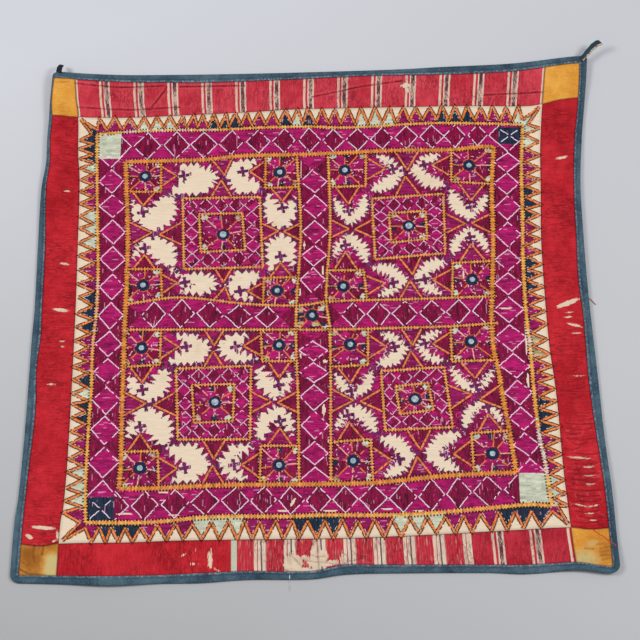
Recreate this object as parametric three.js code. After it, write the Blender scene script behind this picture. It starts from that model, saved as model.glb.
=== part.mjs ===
// An embroidered square hanging that lies face up on a flat surface.
// Millimetres: +X to the right of its face, +Y to the side with the hanging tabs, +Z up.
// The origin is on the surface, under the middle mirror.

import * as THREE from 'three';

// Cloth layers and the clearances between them
const FIELD_THICKNESS = 2.0;
const STRIP_THICKNESS = 1.4;
const SEAM_GAP = 0.3;
const BINDING_LAYER = 1.0;
const BINDING_WALL = 1.2;
const BINDING_ROUND = 0.9;
const SLOT_CLEARANCE = 0.4;
const MITRE_GAP = 0.25;
const EDGE_INSET = BINDING_WALL + SLOT_CLEARANCE;
const EDGE_RISE = BINDING_LAYER + SLOT_CLEARANCE;
const BINDING_HEIGHT = 2 * BINDING_LAYER + 2 * SLOT_CLEARANCE + STRIP_THICKNESS;

// A strip lifts over the binding's lower layer between these two distances from the edge
const RISE_FULL_AT = 18;
const RISE_STARTS_AT = 34;

// How finely the sheets follow the folds: cells along the field, and lines across a border strip,
// as fractions of its width from the edge to the seam
const FIELD_ROWS = 26;
const BOTTOM_CELLS = { plain: 9, worn: 12, striped: 5 };
const STRIP_LINES = [0, 0.09, 0.2, 0.4, 0.6, 0.8, 1];
// The binding's sections turn from square to the mitre over this many stations
const MITRE_STATIONS = 4;

// Mirrors and hanging tabs
const MIRROR_RADIUS = 7;
const MIRROR_THICKNESS = 1;
const MIRROR_SIDES = 14;
const RIGHT_TAB_WIDTH = 11;
const LEFT_TAB_WIDTH = 10;
const TAB_THICKNESS = 3;
const TAB_STATIONS = 9;

// The outer edge of the binding, uneven as it lies, and how wide the binding shows on the face.
// It rolls under at the top of the left side, so little of it shows there.
const LEFT_EDGE = [
  { y: 450, x: -448, binding: 6 },
  { y: 385, x: -450, binding: 4 },
  { y: 325, x: -451, binding: 5 },
  { y: 280, x: -450, binding: 6 },
  { y: 230, x: -455, binding: 8 },
  { y: 120, x: -454, binding: 12 },
  { y: 10, x: -452, binding: 12 },
  { y: -40, x: -453, binding: 14 },
  { y: -90, x: -453, binding: 11 },
  { y: -165, x: -453, binding: 14 },
  { y: -240, x: -454, binding: 12 },
  { y: -310, x: -456, binding: 11 },
  { y: -345, x: -459, binding: 13 },
  { y: -440, x: -460, binding: 13 },
];
const RIGHT_EDGE = [
  { y: 490, x: 477, binding: 13 },
  { y: 435, x: 472, binding: 12 },
  { y: 385, x: 466, binding: 11 },
  { y: 330, x: 459, binding: 12 },
  { y: 240, x: 451, binding: 11 },
  { y: 140, x: 450, binding: 12 },
  { y: 60, x: 451, binding: 14 },
  { y: 0, x: 453, binding: 12 },
  { y: -110, x: 458, binding: 15 },
  { y: -215, x: 462, binding: 12 },
  { y: -310, x: 468, binding: 11 },
  { y: -420, x: 471, binding: 11 },
];
const TOP_EDGE = [
  { x: -450, y: 452, binding: 12 },
  { x: -380, y: 452, binding: 13 },
  { x: -280, y: 453, binding: 15 },
  { x: -190, y: 454, binding: 16 },
  { x: -60, y: 457, binding: 14 },
  { x: 90, y: 462, binding: 11 },
  { x: 160, y: 465, binding: 12 },
  { x: 220, y: 469, binding: 15 },
  { x: 330, y: 475, binding: 16 },
  { x: 430, y: 484, binding: 14 },
  { x: 480, y: 487, binding: 14 },
];
const BOTTOM_EDGE = [
  { x: -460, y: -443, binding: 12 },
  { x: -380, y: -445, binding: 13 },
  { x: -310, y: -448, binding: 15 },
  { x: -230, y: -444, binding: 13 },
  { x: -170, y: -443, binding: 15 },
  { x: -100, y: -438, binding: 13 },
  { x: 0, y: -437, binding: 12 },
  { x: 50, y: -430, binding: 15 },
  { x: 100, y: -428, binding: 13 },
  { x: 270, y: -427, binding: 12 },
  { x: 325, y: -429, binding: 14 },
  { x: 405, y: -424, binding: 12 },
  { x: 450, y: -429, binding: 11 },
  { x: 475, y: -428, binding: 11 },
];

// The seams between the field, the border strips and the corner squares
const LEFT_SEAM = [
  { y: 460, x: -411 },
  { y: 405, x: -406 },
  { y: 371, x: -401 },
  { y: 297, x: -397 },
  { y: 250, x: -392 },
  { y: 120, x: -388 },
  { y: 0, x: -385 },
  { y: -230, x: -383 },
  { y: -325, x: -385 },
  { y: -345, x: -388 },
  { y: -440, x: -389 },
];
const RIGHT_SEAM = [
  { y: 490, x: 406 },
  { y: 385, x: 394 },
  { y: 307, x: 387 },
  { y: 231, x: 384 },
  { y: 147, x: 380 },
  { y: 68, x: 380 },
  { y: -51, x: 383 },
  { y: -111, x: 388 },
  { y: -162, x: 391 },
  { y: -262, x: 394 },
  { y: -354, x: 400 },
  { y: -425, x: 405 },
];
const TOP_SEAM = [
  { x: -450, y: 369 },
  { x: -313, y: 369 },
  { x: -227, y: 373 },
  { x: -90, y: 381 },
  { x: -39, y: 385 },
  { x: 168, y: 390 },
  { x: 271, y: 392 },
  { x: 374, y: 392 },
  { x: 400, y: 397 },
  { x: 427, y: 404 },
  { x: 470, y: 406 },
];
const BOTTOM_SEAM = [
  { x: -460, y: -381 },
  { x: -415, y: -385 },
  { x: -390, y: -381 },
  { x: -279, y: -379 },
  { x: -203, y: -376 },
  { x: 59, y: -372 },
  { x: 136, y: -369 },
  { x: 198, y: -366 },
  { x: 322, y: -359 },
  { x: 399, y: -355 },
  { x: 430, y: -358 },
  { x: 470, y: -356 },
];

// The bottom border is joined from three lengths at these two cuts, as fractions of the field's width
const PLAIN_TO_WORN_CUT = 0.335;
const WORN_TO_STRIPED_CUT = 0.799;

// Soft folds: the middle of each, which way it runs, how far it reaches and how high it lies
const FOLDS = [
  { name: 'lifted top left corner', x: -452, y: 455, turn: 0, along: 95, across: 80, rise: 10 },
  { name: 'rolled left edge', x: -440, y: 330, turn: 90, along: 150, across: 34, rise: 5 },
  { name: 'lifted top right corner', x: 480, y: 492, turn: 45, along: 85, across: 80, rise: 9 },
  { name: 'lifted right edge', x: 458, y: 150, turn: 90, along: 230, across: 34, rise: 4 },
  { name: 'lifted lower right edge', x: 470, y: -280, turn: 90, along: 90, across: 36, rise: 3 },
  { name: 'lifted bottom right corner', x: 476, y: -428, turn: 0, along: 60, across: 48, rise: 6 },
  { name: 'bottom edge ripple', x: 405, y: -430, turn: 90, along: 46, across: 26, rise: 4 },
  { name: 'bottom edge swell', x: -310, y: -452, turn: 90, along: 44, across: 60, rise: 3 },
  { name: 'top strip tuck, left', x: -318, y: 394, turn: 1, along: 90, across: 11, rise: 1.6 },
  { name: 'top strip tuck, middle', x: 56, y: 424, turn: 14, along: 70, across: 12, rise: 1.8 },
  { name: 'right strip pucker', x: 432, y: -230, turn: 4, along: 26, across: 12, rise: 1.5 },
];

// How far each outer corner is rounded
const CORNER_RADIUS = { left_top: 9, right_top: 7, left_bottom: 14, right_bottom: 14 };

// A ring of mirrors and a middle mirror in each quarter of the field, and one where the bands cross
const MIRRORS = [
  { name: 'top_left_1', x: -282, y: 255 },
  { name: 'top_left_2', x: -55, y: 263 },
  { name: 'top_left_3', x: -277, y: 54 },
  { name: 'top_left_4', x: -57, y: 44 },
  { name: 'top_left_middle', x: -148, y: 146 },
  { name: 'top_right_1', x: 55, y: 267 },
  { name: 'top_right_2', x: 265, y: 276 },
  { name: 'top_right_3', x: 51, y: 52 },
  { name: 'top_right_4', x: 263, y: 64 },
  { name: 'top_right_middle', x: 161, y: 162 },
  { name: 'bottom_left_1', x: -275, y: -57 },
  { name: 'bottom_left_2', x: -53, y: -52 },
  { name: 'bottom_left_3', x: -269, y: -260 },
  { name: 'bottom_left_4', x: -51, y: -255 },
  { name: 'bottom_left_middle', x: -154, y: -150 },
  { name: 'bottom_right_1', x: 62, y: -51 },
  { name: 'bottom_right_2', x: 257, y: -46 },
  { name: 'bottom_right_3', x: 65, y: -248 },
  { name: 'bottom_right_4', x: 284, y: -236 },
  { name: 'bottom_right_middle', x: 164, y: -145 },
  { name: 'middle', x: 0, y: 0 },
];

// The routes of the two hanging tabs, from the binding's upper face out over its edge
const RIGHT_TAB = [
  { x: 466, y: 477, z: 14.9 },
  { x: 480, y: 488, z: 17.5 },
  { x: 493, y: 499, z: 23 },
  { x: 499, y: 504, z: 26 },
];
const LEFT_TAB = [
  { x: -437, y: 443, z: 18.4 },
  { x: -436, y: 455, z: 19.3 },
  { x: -435, y: 464, z: 16 },
  { x: -435, y: 467, z: 9 },
];

// Finishes
const cloth = (colour) => new THREE.MeshStandardMaterial({ color: colour, roughness: 0.9, metalness: 0 });
const EMBROIDERY = cloth(0xa01e6e);
const PLAIN_RED = cloth(0xbe1e2d);
const STRIPED_RED = cloth(0xc83246);
const YELLOW = cloth(0xe8a541);
const INDIGO = cloth(0x415f78);
const GLASS = new THREE.MeshStandardMaterial({ color: 0xc8d2dc, roughness: 0.15, metalness: 0.9 });

// A smooth line through the rows of a table, from its column "along" to its column "across"
function through(table, along, across) {
  const rows = [...table].sort((a, b) => a[along] - b[along]);
  const last = rows.length - 1;
  const slope = rows.map((_, i) => {
    const before = rows[Math.max(i - 1, 0)];
    const after = rows[Math.min(i + 1, last)];
    return (after[across] - before[across]) / (after[along] - before[along]);
  });
  return (at) => {
    if (at <= rows[0][along]) return rows[0][across] + slope[0] * (at - rows[0][along]);
    if (at >= rows[last][along]) return rows[last][across] + slope[last] * (at - rows[last][along]);
    const next = rows.findIndex((row) => row[along] > at);
    const a = rows[next - 1];
    const b = rows[next];
    const step = b[along] - a[along];
    const t = (at - a[along]) / step;
    const blend = t * t * (3 - 2 * t);
    const start = t * (1 - t) * (1 - t) * step * slope[next - 1];
    const end = t * t * (1 - t) * step * slope[next];
    return a[across] + (b[across] - a[across]) * blend + start - end;
  };
}

const edge = {
  left: through(LEFT_EDGE, 'y', 'x'),
  right: through(RIGHT_EDGE, 'y', 'x'),
  top: through(TOP_EDGE, 'x', 'y'),
  bottom: through(BOTTOM_EDGE, 'x', 'y'),
};
const bindingWidth = {
  left: through(LEFT_EDGE, 'y', 'binding'),
  right: through(RIGHT_EDGE, 'y', 'binding'),
  top: through(TOP_EDGE, 'x', 'binding'),
  bottom: through(BOTTOM_EDGE, 'x', 'binding'),
};
const bindingInside = {
  left: (y) => edge.left(y) + bindingWidth.left(y),
  right: (y) => edge.right(y) - bindingWidth.right(y),
  top: (x) => edge.top(x) - bindingWidth.top(x),
  bottom: (x) => edge.bottom(x) + bindingWidth.bottom(x),
};
const seam = {
  left: through(LEFT_SEAM, 'y', 'x'),
  right: through(RIGHT_SEAM, 'y', 'x'),
  top: through(TOP_SEAM, 'x', 'y'),
  bottom: through(BOTTOM_SEAM, 'x', 'y'),
};

// The point at fractions s and t of a patch between a left, a right, a bottom and a top line
function patchPoint(patch, s, t) {
  const SETTLING_PASSES = 14;
  let x = 0;
  let y = 0;
  for (let pass = 0; pass < SETTLING_PASSES; pass++) {
    x = THREE.MathUtils.lerp(patch.left(y), patch.right(y), s);
    y = THREE.MathUtils.lerp(patch.bottom(x), patch.top(x), t);
  }
  return new THREE.Vector2(x, y);
}

// The four outer corners, each with the middle of its rounding
const CORNERS = [
  { side: -1, end: 1, radius: CORNER_RADIUS.left_top },
  { side: 1, end: 1, radius: CORNER_RADIUS.right_top },
  { side: -1, end: -1, radius: CORNER_RADIUS.left_bottom },
  { side: 1, end: -1, radius: CORNER_RADIUS.right_bottom },
].map((corner) => {
  const tip = patchPoint(edge, (corner.side + 1) / 2, (corner.end + 1) / 2);
  return { ...corner, x: tip.x - corner.side * corner.radius, y: tip.y - corner.end * corner.radius };
});

// Draws a point near an outer corner in onto the corner's arc
function rounded(point) {
  for (const corner of CORNERS) {
    const dx = (point.x - corner.x) * corner.side;
    const dy = (point.y - corner.y) * corner.end;
    if (dx > 0 && dy > 0) {
      const shrink = Math.max(dx, dy) / Math.hypot(dx, dy);
      return new THREE.Vector2(
        corner.x + corner.side * dx * shrink,
        corner.y + corner.end * dy * shrink,
      );
    }
  }
  return point;
}

// How high the folds carry the cloth at a point
function foldHeight(point) {
  let height = 0;
  for (const fold of FOLDS) {
    const turn = THREE.MathUtils.degToRad(fold.turn);
    const dx = point.x - fold.x;
    const dy = point.y - fold.y;
    const along = (dx * Math.cos(turn) + dy * Math.sin(turn)) / fold.along;
    const across = (dy * Math.cos(turn) - dx * Math.sin(turn)) / fold.across;
    const reach = Math.max(0, 1 - 0.25 * (along * along + across * across));
    height += fold.rise * reach ** 4;
  }
  return height;
}

// How high a strip lies over the binding's lower layer
function edgeRise({ x, y }) {
  const inside = Math.min(x - edge.left(y), edge.right(y) - x, y - edge.bottom(x), edge.top(x) - y);
  return EDGE_RISE * (1 - THREE.MathUtils.smoothstep(inside, RISE_FULL_AT, RISE_STARTS_AT));
}

function indexedGeometry(points, index) {
  const geometry = new THREE.BufferGeometry();
  const coordinates = points.flatMap((p) => [p.x, p.y, p.z]);
  geometry.setAttribute('position', new THREE.Float32BufferAttribute(coordinates, 3));
  geometry.setIndex(index);
  geometry.computeVertexNormals();
  return geometry;
}

// A closed sheet over a patch, of even thickness, that lies on the folds.
// Its lines stand at the fractions in two lists.
function sheet(patch, columnLines, rowLines, thickness) {
  const points = [];
  const columns = columnLines.length - 1;
  const rows = rowLines.length - 1;
  const layerSize = columnLines.length * rowLines.length;
  for (const layer of [0, thickness]) {
    for (const t of rowLines) {
      for (const s of columnLines) {
        const place = rounded(patchPoint(patch, s, t));
        points.push(new THREE.Vector3(place.x, place.y, foldHeight(place) + edgeRise(place) + layer));
      }
    }
  }
  const index = [];
  const under = (i, j) => j * (columns + 1) + i;
  const over = (i, j) => layerSize + under(i, j);
  const quad = (a, b, c, d) => index.push(a, b, c, a, c, d);
  for (let j = 0; j < rows; j++) {
    for (let i = 0; i < columns; i++) {
      quad(over(i, j), over(i + 1, j), over(i + 1, j + 1), over(i, j + 1));
      quad(under(i, j), under(i, j + 1), under(i + 1, j + 1), under(i + 1, j));
    }
    quad(under(0, j + 1), under(0, j), over(0, j), over(0, j + 1));
    quad(under(columns, j), under(columns, j + 1), over(columns, j + 1), over(columns, j));
  }
  for (let i = 0; i < columns; i++) {
    quad(under(i, 0), under(i + 1, 0), over(i + 1, 0), over(i, 0));
    quad(under(i + 1, rows), under(i, rows), over(i, rows), over(i + 1, rows));
  }
  return indexedGeometry(points, index);
}

// A closed solid through rings of points that all follow one anticlockwise outline
function loft(rings, outline) {
  const size = outline.length;
  const index = [];
  for (let k = 0; k + 1 < rings.length; k++) {
    for (let i = 0; i < size; i++) {
      const next = (i + 1) % size;
      const a = k * size + i;
      const b = k * size + next;
      index.push(a, b, b + size, a, b + size, a + size);
    }
  }
  const lastRing = (rings.length - 1) * size;
  for (const face of THREE.ShapeUtils.triangulateShape(outline, [])) {
    const [a, b, c] = face;
    const turn = outline[b].clone().sub(outline[a]).cross(outline[c].clone().sub(outline[a]));
    const [p, q, r] = turn > 0 ? [a, b, c] : [a, c, b];
    index.push(p, r, q, lastRing + p, lastRing + q, lastRing + r);
  }
  return indexedGeometry(rings.flat(), index);
}

// The folded section of the binding: across in millimetres from the edge, up from its underside
function bindingSection(width) {
  const slotFloor = BINDING_LAYER;
  const slotRoof = BINDING_HEIGHT - BINDING_LAYER;
  return [
    new THREE.Vector2(width, 0),
    new THREE.Vector2(width, slotFloor),
    new THREE.Vector2(BINDING_WALL, slotFloor),
    new THREE.Vector2(BINDING_WALL, slotRoof),
    new THREE.Vector2(width, slotRoof),
    new THREE.Vector2(width, BINDING_HEIGHT),
    new THREE.Vector2(BINDING_ROUND, BINDING_HEIGHT),
    new THREE.Vector2(0, BINDING_HEIGHT - BINDING_ROUND),
    new THREE.Vector2(0, BINDING_ROUND),
    new THREE.Vector2(BINDING_ROUND, 0),
  ];
}

// One side of the binding, mitred at both corners, with a section at each line of the sheets it wraps.
// "along" names the axis that the side runs on, and "low" and "high" its corners as patch fractions.
function bindingSide(name, along, low, high) {
  const across = along === 'y' ? 'x' : 'y';
  const cornerPlace = (lines, corner) => patchPoint(lines, ...corner)[along];
  const outerEnds = [cornerPlace(edge, low), cornerPlace(edge, high)];
  const innerEnds = [cornerPlace(bindingInside, low), cornerPlace(bindingInside, high)];
  const stations = sheetStations(name, along);
  const last = stations.length - 1;
  stations[0] = outerEnds[0] + MITRE_GAP;
  stations[last] = outerEnds[1] - MITRE_GAP;
  const onLine = (line, at) => {
    const point = new THREE.Vector2();
    point[along] = at;
    point[across] = line(at);
    return point;
  };
  const rings = stations.map((at, k) => {
    const nearLow = Math.max(0, 1 - k / MITRE_STATIONS);
    const nearHigh = Math.max(0, 1 - (last - k) / MITRE_STATIONS);
    const slant = nearLow * (innerEnds[0] - outerEnds[0]) + nearHigh * (innerEnds[1] - outerEnds[1]);
    const outer = onLine(edge[name], at);
    const inner = onLine(bindingInside[name], at + slant);
    const width = outer.distanceTo(inner);
    return bindingSection(width).map((corner) => {
      const place = rounded(outer.clone().lerp(inner, corner.x / width));
      return new THREE.Vector3(place.x, place.y, foldHeight(place) + corner.y);
    });
  });
  const clockwise = name === 'left' || name === 'top';
  return loft(clockwise ? rings.reverse() : rings, bindingSection(bindingWidth[name](0)));
}

// A hanging tab of doubled tape along its route
function tab(route, width) {
  const curve = new THREE.CatmullRomCurve3(route.map((row) => new THREE.Vector3(row.x, row.y, row.z)));
  const up = new THREE.Vector3(0, 0, 1);
  const sideways = curve.getPoint(1).sub(curve.getPoint(0)).cross(up).normalize();
  const outline = [
    new THREE.Vector2(-0.5, -0.5),
    new THREE.Vector2(0.5, -0.5),
    new THREE.Vector2(0.5, 0.5),
    new THREE.Vector2(-0.5, 0.5),
  ];
  const rings = Array.from({ length: TAB_STATIONS }, (_, k) => {
    const at = k / (TAB_STATIONS - 1);
    const facing = curve.getTangent(at).cross(sideways).normalize();
    return outline.map((corner) => curve.getPoint(at)
      .addScaledVector(sideways, corner.x * width)
      .addScaledVector(facing, corner.y * TAB_THICKNESS));
  });
  return loft(rings, outline);
}

function mirrorDisc() {
  const disc = new THREE.CylinderGeometry(MIRROR_RADIUS, MIRROR_RADIUS, MIRROR_THICKNESS, MIRROR_SIDES);
  return disc.rotateX(Math.PI / 2);
}

// Lines moved by half a seam gap or in from the edge, so that neighbouring pieces stand apart
const shifted = (line, by) => (at) => line(at) + by;
const cut = (fraction) => (y) => THREE.MathUtils.lerp(seam.left(y), seam.right(y), fraction);
const even = (count) => Array.from({ length: count + 1 }, (_, k) => k / count);
const inwards = STRIP_LINES;
const outwards = STRIP_LINES.map((fraction) => 1 - fraction).reverse();
const HALF_GAP = SEAM_GAP / 2;

// The three lengths of the bottom border, each with its share of the field's columns
const bottomPieces = [
  { name: 'plain', from: 0, to: PLAIN_TO_WORN_CUT },
  { name: 'worn', from: PLAIN_TO_WORN_CUT, to: WORN_TO_STRIPED_CUT },
  { name: 'striped', from: WORN_TO_STRIPED_CUT, to: 1 },
].map(({ name, from, to }) => ({
  name,
  left: shifted(cut(from), HALF_GAP),
  right: shifted(cut(to), -HALF_GAP),
  lines: even(BOTTOM_CELLS[name]),
  fieldLines: even(BOTTOM_CELLS[name]).map((fraction) => THREE.MathUtils.lerp(from, to, fraction)),
}));

// The net of pieces: border strip, field, border strip, each way
const netColumns = {
  left: { left: shifted(edge.left, EDGE_INSET), right: shifted(seam.left, -HALF_GAP), lines: inwards },
  middle: {
    left: shifted(seam.left, HALF_GAP),
    right: shifted(seam.right, -HALF_GAP),
    lines: [0, ...bottomPieces.flatMap((piece) => piece.fieldLines.slice(1))],
  },
  right: { left: shifted(seam.right, HALF_GAP), right: shifted(edge.right, -EDGE_INSET), lines: outwards },
};
const netRows = {
  bottom: { bottom: shifted(edge.bottom, EDGE_INSET), top: shifted(seam.bottom, -HALF_GAP), lines: inwards },
  middle: {
    bottom: shifted(seam.bottom, HALF_GAP),
    top: shifted(seam.top, -HALF_GAP),
    lines: even(FIELD_ROWS),
  },
  top: { bottom: shifted(seam.top, HALF_GAP), top: shifted(edge.top, -EDGE_INSET), lines: outwards },
};

// Where the sheets' lines reach one side of the cloth, in order along that side
function sheetStations(side, along) {
  const stations = [];
  const runs = Object.values(along === 'y' ? netRows : netColumns);
  for (const run of runs) {
    const lines = stations.length ? run.lines.slice(1) : run.lines;
    for (const at of lines) {
      const patch = along === 'y' ? { ...netColumns[side], ...run } : { ...run, ...netRows[side] };
      const far = side === 'right' || side === 'top' ? 1 : 0;
      const point = along === 'y' ? patchPoint(patch, far, at) : patchPoint(patch, at, far);
      stations.push(point[along]);
    }
  }
  return stations;
}

const panel = new THREE.Group();

function add(name, geometry, material) {
  const mesh = new THREE.Mesh(geometry, material);
  mesh.name = name;
  panel.add(mesh);
  return mesh;
}

function addSheet(name, columns, rows, thickness, material) {
  add(name, sheet({ ...columns, ...rows }, columns.lines, rows.lines, thickness), material);
}

addSheet('field', netColumns.middle, netRows.middle, FIELD_THICKNESS, EMBROIDERY);
addSheet('strip_left', netColumns.left, netRows.middle, STRIP_THICKNESS, PLAIN_RED);
addSheet('strip_right', netColumns.right, netRows.middle, STRIP_THICKNESS, PLAIN_RED);
addSheet('strip_top', netColumns.middle, netRows.top, STRIP_THICKNESS, STRIPED_RED);
for (const piece of bottomPieces) {
  const material = piece.name === 'plain' ? PLAIN_RED : STRIPED_RED;
  addSheet(`strip_bottom_${piece.name}`, piece, netRows.bottom, STRIP_THICKNESS, material);
}
for (const column of ['left', 'right']) {
  for (const row of ['top', 'bottom']) {
    addSheet(`corner_${row}_${column}`, netColumns[column], netRows[row], STRIP_THICKNESS, YELLOW);
  }
}

add('binding_left', bindingSide('left', 'y', [0, 0], [0, 1]), INDIGO);
add('binding_right', bindingSide('right', 'y', [1, 0], [1, 1]), INDIGO);
add('binding_top', bindingSide('top', 'x', [0, 1], [1, 1]), INDIGO);
add('binding_bottom', bindingSide('bottom', 'x', [0, 0], [1, 0]), INDIGO);

add('tab_left', tab(LEFT_TAB, LEFT_TAB_WIDTH), INDIGO);
add('tab_right', tab(RIGHT_TAB, RIGHT_TAB_WIDTH), INDIGO);

for (const mirror of MIRRORS) {
  const disc = add(`mirror_${mirror.name}`, mirrorDisc(), GLASS);
  disc.position.set(mirror.x, mirror.y, FIELD_THICKNESS + SEAM_GAP + MIRROR_THICKNESS / 2);
}

export default panel;
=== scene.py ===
"""The looks of an embroidered square hanging that lies face up: cloth, floss, mirrors and bound edge."""

import math

import bpy
import numpy as np
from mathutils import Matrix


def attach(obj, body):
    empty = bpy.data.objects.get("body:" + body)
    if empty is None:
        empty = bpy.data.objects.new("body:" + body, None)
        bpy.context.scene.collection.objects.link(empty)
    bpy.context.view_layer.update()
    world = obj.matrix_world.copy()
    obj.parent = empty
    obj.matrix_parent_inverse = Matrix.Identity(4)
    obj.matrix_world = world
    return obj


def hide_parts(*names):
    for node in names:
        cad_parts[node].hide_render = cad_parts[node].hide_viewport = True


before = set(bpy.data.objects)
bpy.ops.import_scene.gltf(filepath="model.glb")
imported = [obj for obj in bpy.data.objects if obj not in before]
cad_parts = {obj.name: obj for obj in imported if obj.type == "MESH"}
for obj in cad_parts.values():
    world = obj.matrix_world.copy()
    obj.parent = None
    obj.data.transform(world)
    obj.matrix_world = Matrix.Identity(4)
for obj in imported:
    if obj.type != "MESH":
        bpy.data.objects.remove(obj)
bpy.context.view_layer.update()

# Tables are in millimetres, in the frame's axes: +X to the right of the face, +Y to the side with the tabs.
MM = 0.001
LEVEL_SIDES = ("top", "bottom")
UPRIGHT_SIDES = ("left", "right")
SIDES_ROUND = ("top", "right", "bottom", "left")

# The two ends of each side, 0 or 1 from left to right and from bottom to top
SIDE_ENDS = {
    "left": ((0, 0), (0, 1)), "right": ((1, 0), (1, 1)), "bottom": ((0, 0), (1, 0)), "top": ((0, 1), (1, 1)),
}

# Cloth layers, as in the solids
FIELD_THICKNESS = 2.0
STRIP_THICKNESS = 1.4
BINDING_LAYER = 1.0
BINDING_WALL = 1.2
SLOT_CLEARANCE = 0.4
MITRE_GAP = 0.25
EDGE_INSET = BINDING_WALL + SLOT_CLEARANCE
EDGE_RISE = BINDING_LAYER + SLOT_CLEARANCE
BINDING_HEIGHT = 2 * BINDING_LAYER + 2 * SLOT_CLEARANCE + STRIP_THICKNESS
RISE_FULL_AT = 18
RISE_STARTS_AT = 34

# The camera's height angle, distance and lens, and the point on the floor that it looks at
CAMERA_ELEVATION = math.radians(67)
CAMERA_DISTANCE = 2.7
CAMERA_LENS = 93.4
CAMERA_TARGET = (0.013, -0.007, 0.0)

# The outer edge of the bound cloth: (place along the side, edge, width of the binding that shows)
EDGE_ROWS = {
    "left": [
        (450, -448, 3), (395, -450, 2.6), (365, -450, 5), (325, -451, 5), (280, -450, 6), (230, -455, 8),
        (120, -454, 12), (10, -452, 12), (-40, -453, 14), (-90, -453, 11), (-165, -453, 14), (-240, -454, 12),
        (-310, -456, 11), (-345, -459, 13), (-440, -460, 13),
    ],
    "right": [
        (490, 477, 13), (435, 472, 12), (385, 466, 11), (330, 459, 12), (240, 451, 11), (140, 450, 12),
        (60, 451, 14), (0, 453, 12), (-110, 458, 15), (-215, 462, 12), (-310, 468, 11), (-420, 471, 11),
    ],
    "top": [
        (-450, 452, 12), (-380, 452, 13), (-280, 453, 15), (-190, 454, 16), (-60, 457, 14), (90, 462, 11),
        (160, 465, 12), (220, 469, 15), (330, 475, 16), (430, 484, 14), (480, 487, 14),
    ],
    "bottom": [
        (-460, -443, 12), (-380, -445, 13), (-310, -448, 15), (-230, -444, 13), (-170, -443, 15),
        (-100, -438, 13), (0, -437, 12), (50, -430, 15), (100, -428, 13), (270, -427, 12), (325, -429, 14),
        (405, -424, 12), (450, -429, 11), (475, -428, 11),
    ],
}

# The seams round the field: (place along the side, seam)
SEAM_ROWS = {
    "left": [
        (460, -411), (405, -406), (371, -401), (297, -397), (250, -392), (120, -388), (0, -385),
        (-230, -383), (-325, -385), (-345, -388), (-440, -389),
    ],
    "right": [
        (490, 406), (385, 394), (307, 387), (231, 384), (147, 380), (68, 380), (-51, 383), (-111, 388),
        (-162, 391), (-262, 394), (-354, 400), (-425, 405),
    ],
    "top": [
        (-450, 369), (-313, 369), (-227, 373), (-90, 381), (-39, 385), (168, 390), (271, 392), (374, 392),
        (400, 397), (427, 404), (470, 406),
    ],
    "bottom": [
        (-460, -381), (-415, -385), (-390, -381), (-279, -379), (-203, -376), (59, -372), (136, -369),
        (198, -366), (322, -359), (399, -355), (430, -358), (470, -356),
    ],
}

# Where the bottom border is joined, as fractions of the field's width
PLAIN_TO_WORN_CUT = 0.335
WORN_TO_STRIPED_CUT = 0.799

# Soft folds: (x, y, turn in degrees, reach along, reach across, rise)
FOLDS = [
    (-452, 455, 0, 95, 80, 10),
    (-440, 330, 90, 150, 34, 5),
    (480, 492, 45, 85, 80, 9),
    (458, 150, 90, 230, 34, 4),
    (470, -280, 90, 90, 36, 3),
    (476, -428, 0, 60, 48, 6),
    (405, -430, 90, 46, 26, 4),
    (-310, -452, 90, 44, 60, 3),
    (-318, 394, 1, 90, 11, 1.6),
    (56, 424, 14, 70, 12, 1.8),
    (432, -230, 4, 26, 12, 1.5),
]

# The outer corners: (side, end, rounding)
CORNER_ROUNDS = [(-1, 1, 9), (1, 1, 7), (-1, -1, 14), (1, -1, 14)]

# Sharp creases with painted shade and highlights: (half width, depth, points along the crease)
CREASES = [
    (2.6, 1.0, [(-410, 432), (-333, 428), (-255, 432)]),
    (2.2, 0.8, [(-251, 430), (-279, 384)]),
    (3.0, 1.1, [(-403, 388), (-313, 384), (-228, 390)]),
    (2.4, 0.7, [(-229, 430), (-117, 432)]),
    (2.8, 1.1, [(-1, 410), (44, 420), (82, 430), (155, 442)]),
    (2.6, 0.9, [(294, 414), (401, 420)]),
    (1.6, 0.7, [(459, -381), (438, -383)]),
    (1.6, 0.7, [(459, -386), (443, -390)]),
    (1.6, 0.6, [(459, -393), (441, -395)]),
    (1.6, 0.6, [(459, -400), (443, -400)]),
    (1.6, 0.6, [(459, -405), (444, -408)]),
    (1.4, 0.4, [(419, -389), (433, -390)]),
    (2.6, 1.2, [(-426, -384), (-427, -396), (-424, -410)]),
    (2.0, 0.8, [(-412, -384), (-413, -398)]),
    (2.2, 0.9, [(-447, -421), (-431, -429), (-405, -431)]),
    (2.0, 0.8, [(-449, -405), (-440, -412)]),
    (2.0, 0.6, [(-440, 431), (-418, 434)]),
]

# Softer creases, with a faint line of painted shade and highlights: (half width, depth, points along the
# crease)
SOFT_CREASES = [
    (2.0, 1.1, [(424, -252), (434, -257), (444, -252)]),
    (2.0, 1.1, [(424, -266), (434, -271), (444, -266)]),
    (2.0, 1.1, [(425, -280), (435, -285), (445, -280)]),
    (2.0, 1.1, [(-14, -406), (4, -410), (23, -411), (40, -414)]),
    (1.8, 0.9, [(-40, -397), (-27, -403), (-16, -416), (2, -421)]),
    (2.2, 1.2, [(-44, -422), (-24, -425), (-4, -431)]),
    (1.8, 0.9, [(11, -384), (10, -400), (12, -426)]),
    (1.8, 0.9, [(23, -422), (38, -416), (46, -418)]),
    (1.8, 0.8, [(44, -397), (47, -408), (49, -421)]),
    (1.6, 0.7, [(-3, -398), (8, -402), (22, -401)]),
    (1.6, 0.7, [(62, -392), (70, -400), (86, -402)]),
    (1.6, 0.7, [(64, -408), (78, -404), (92, -409)]),
]

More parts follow.
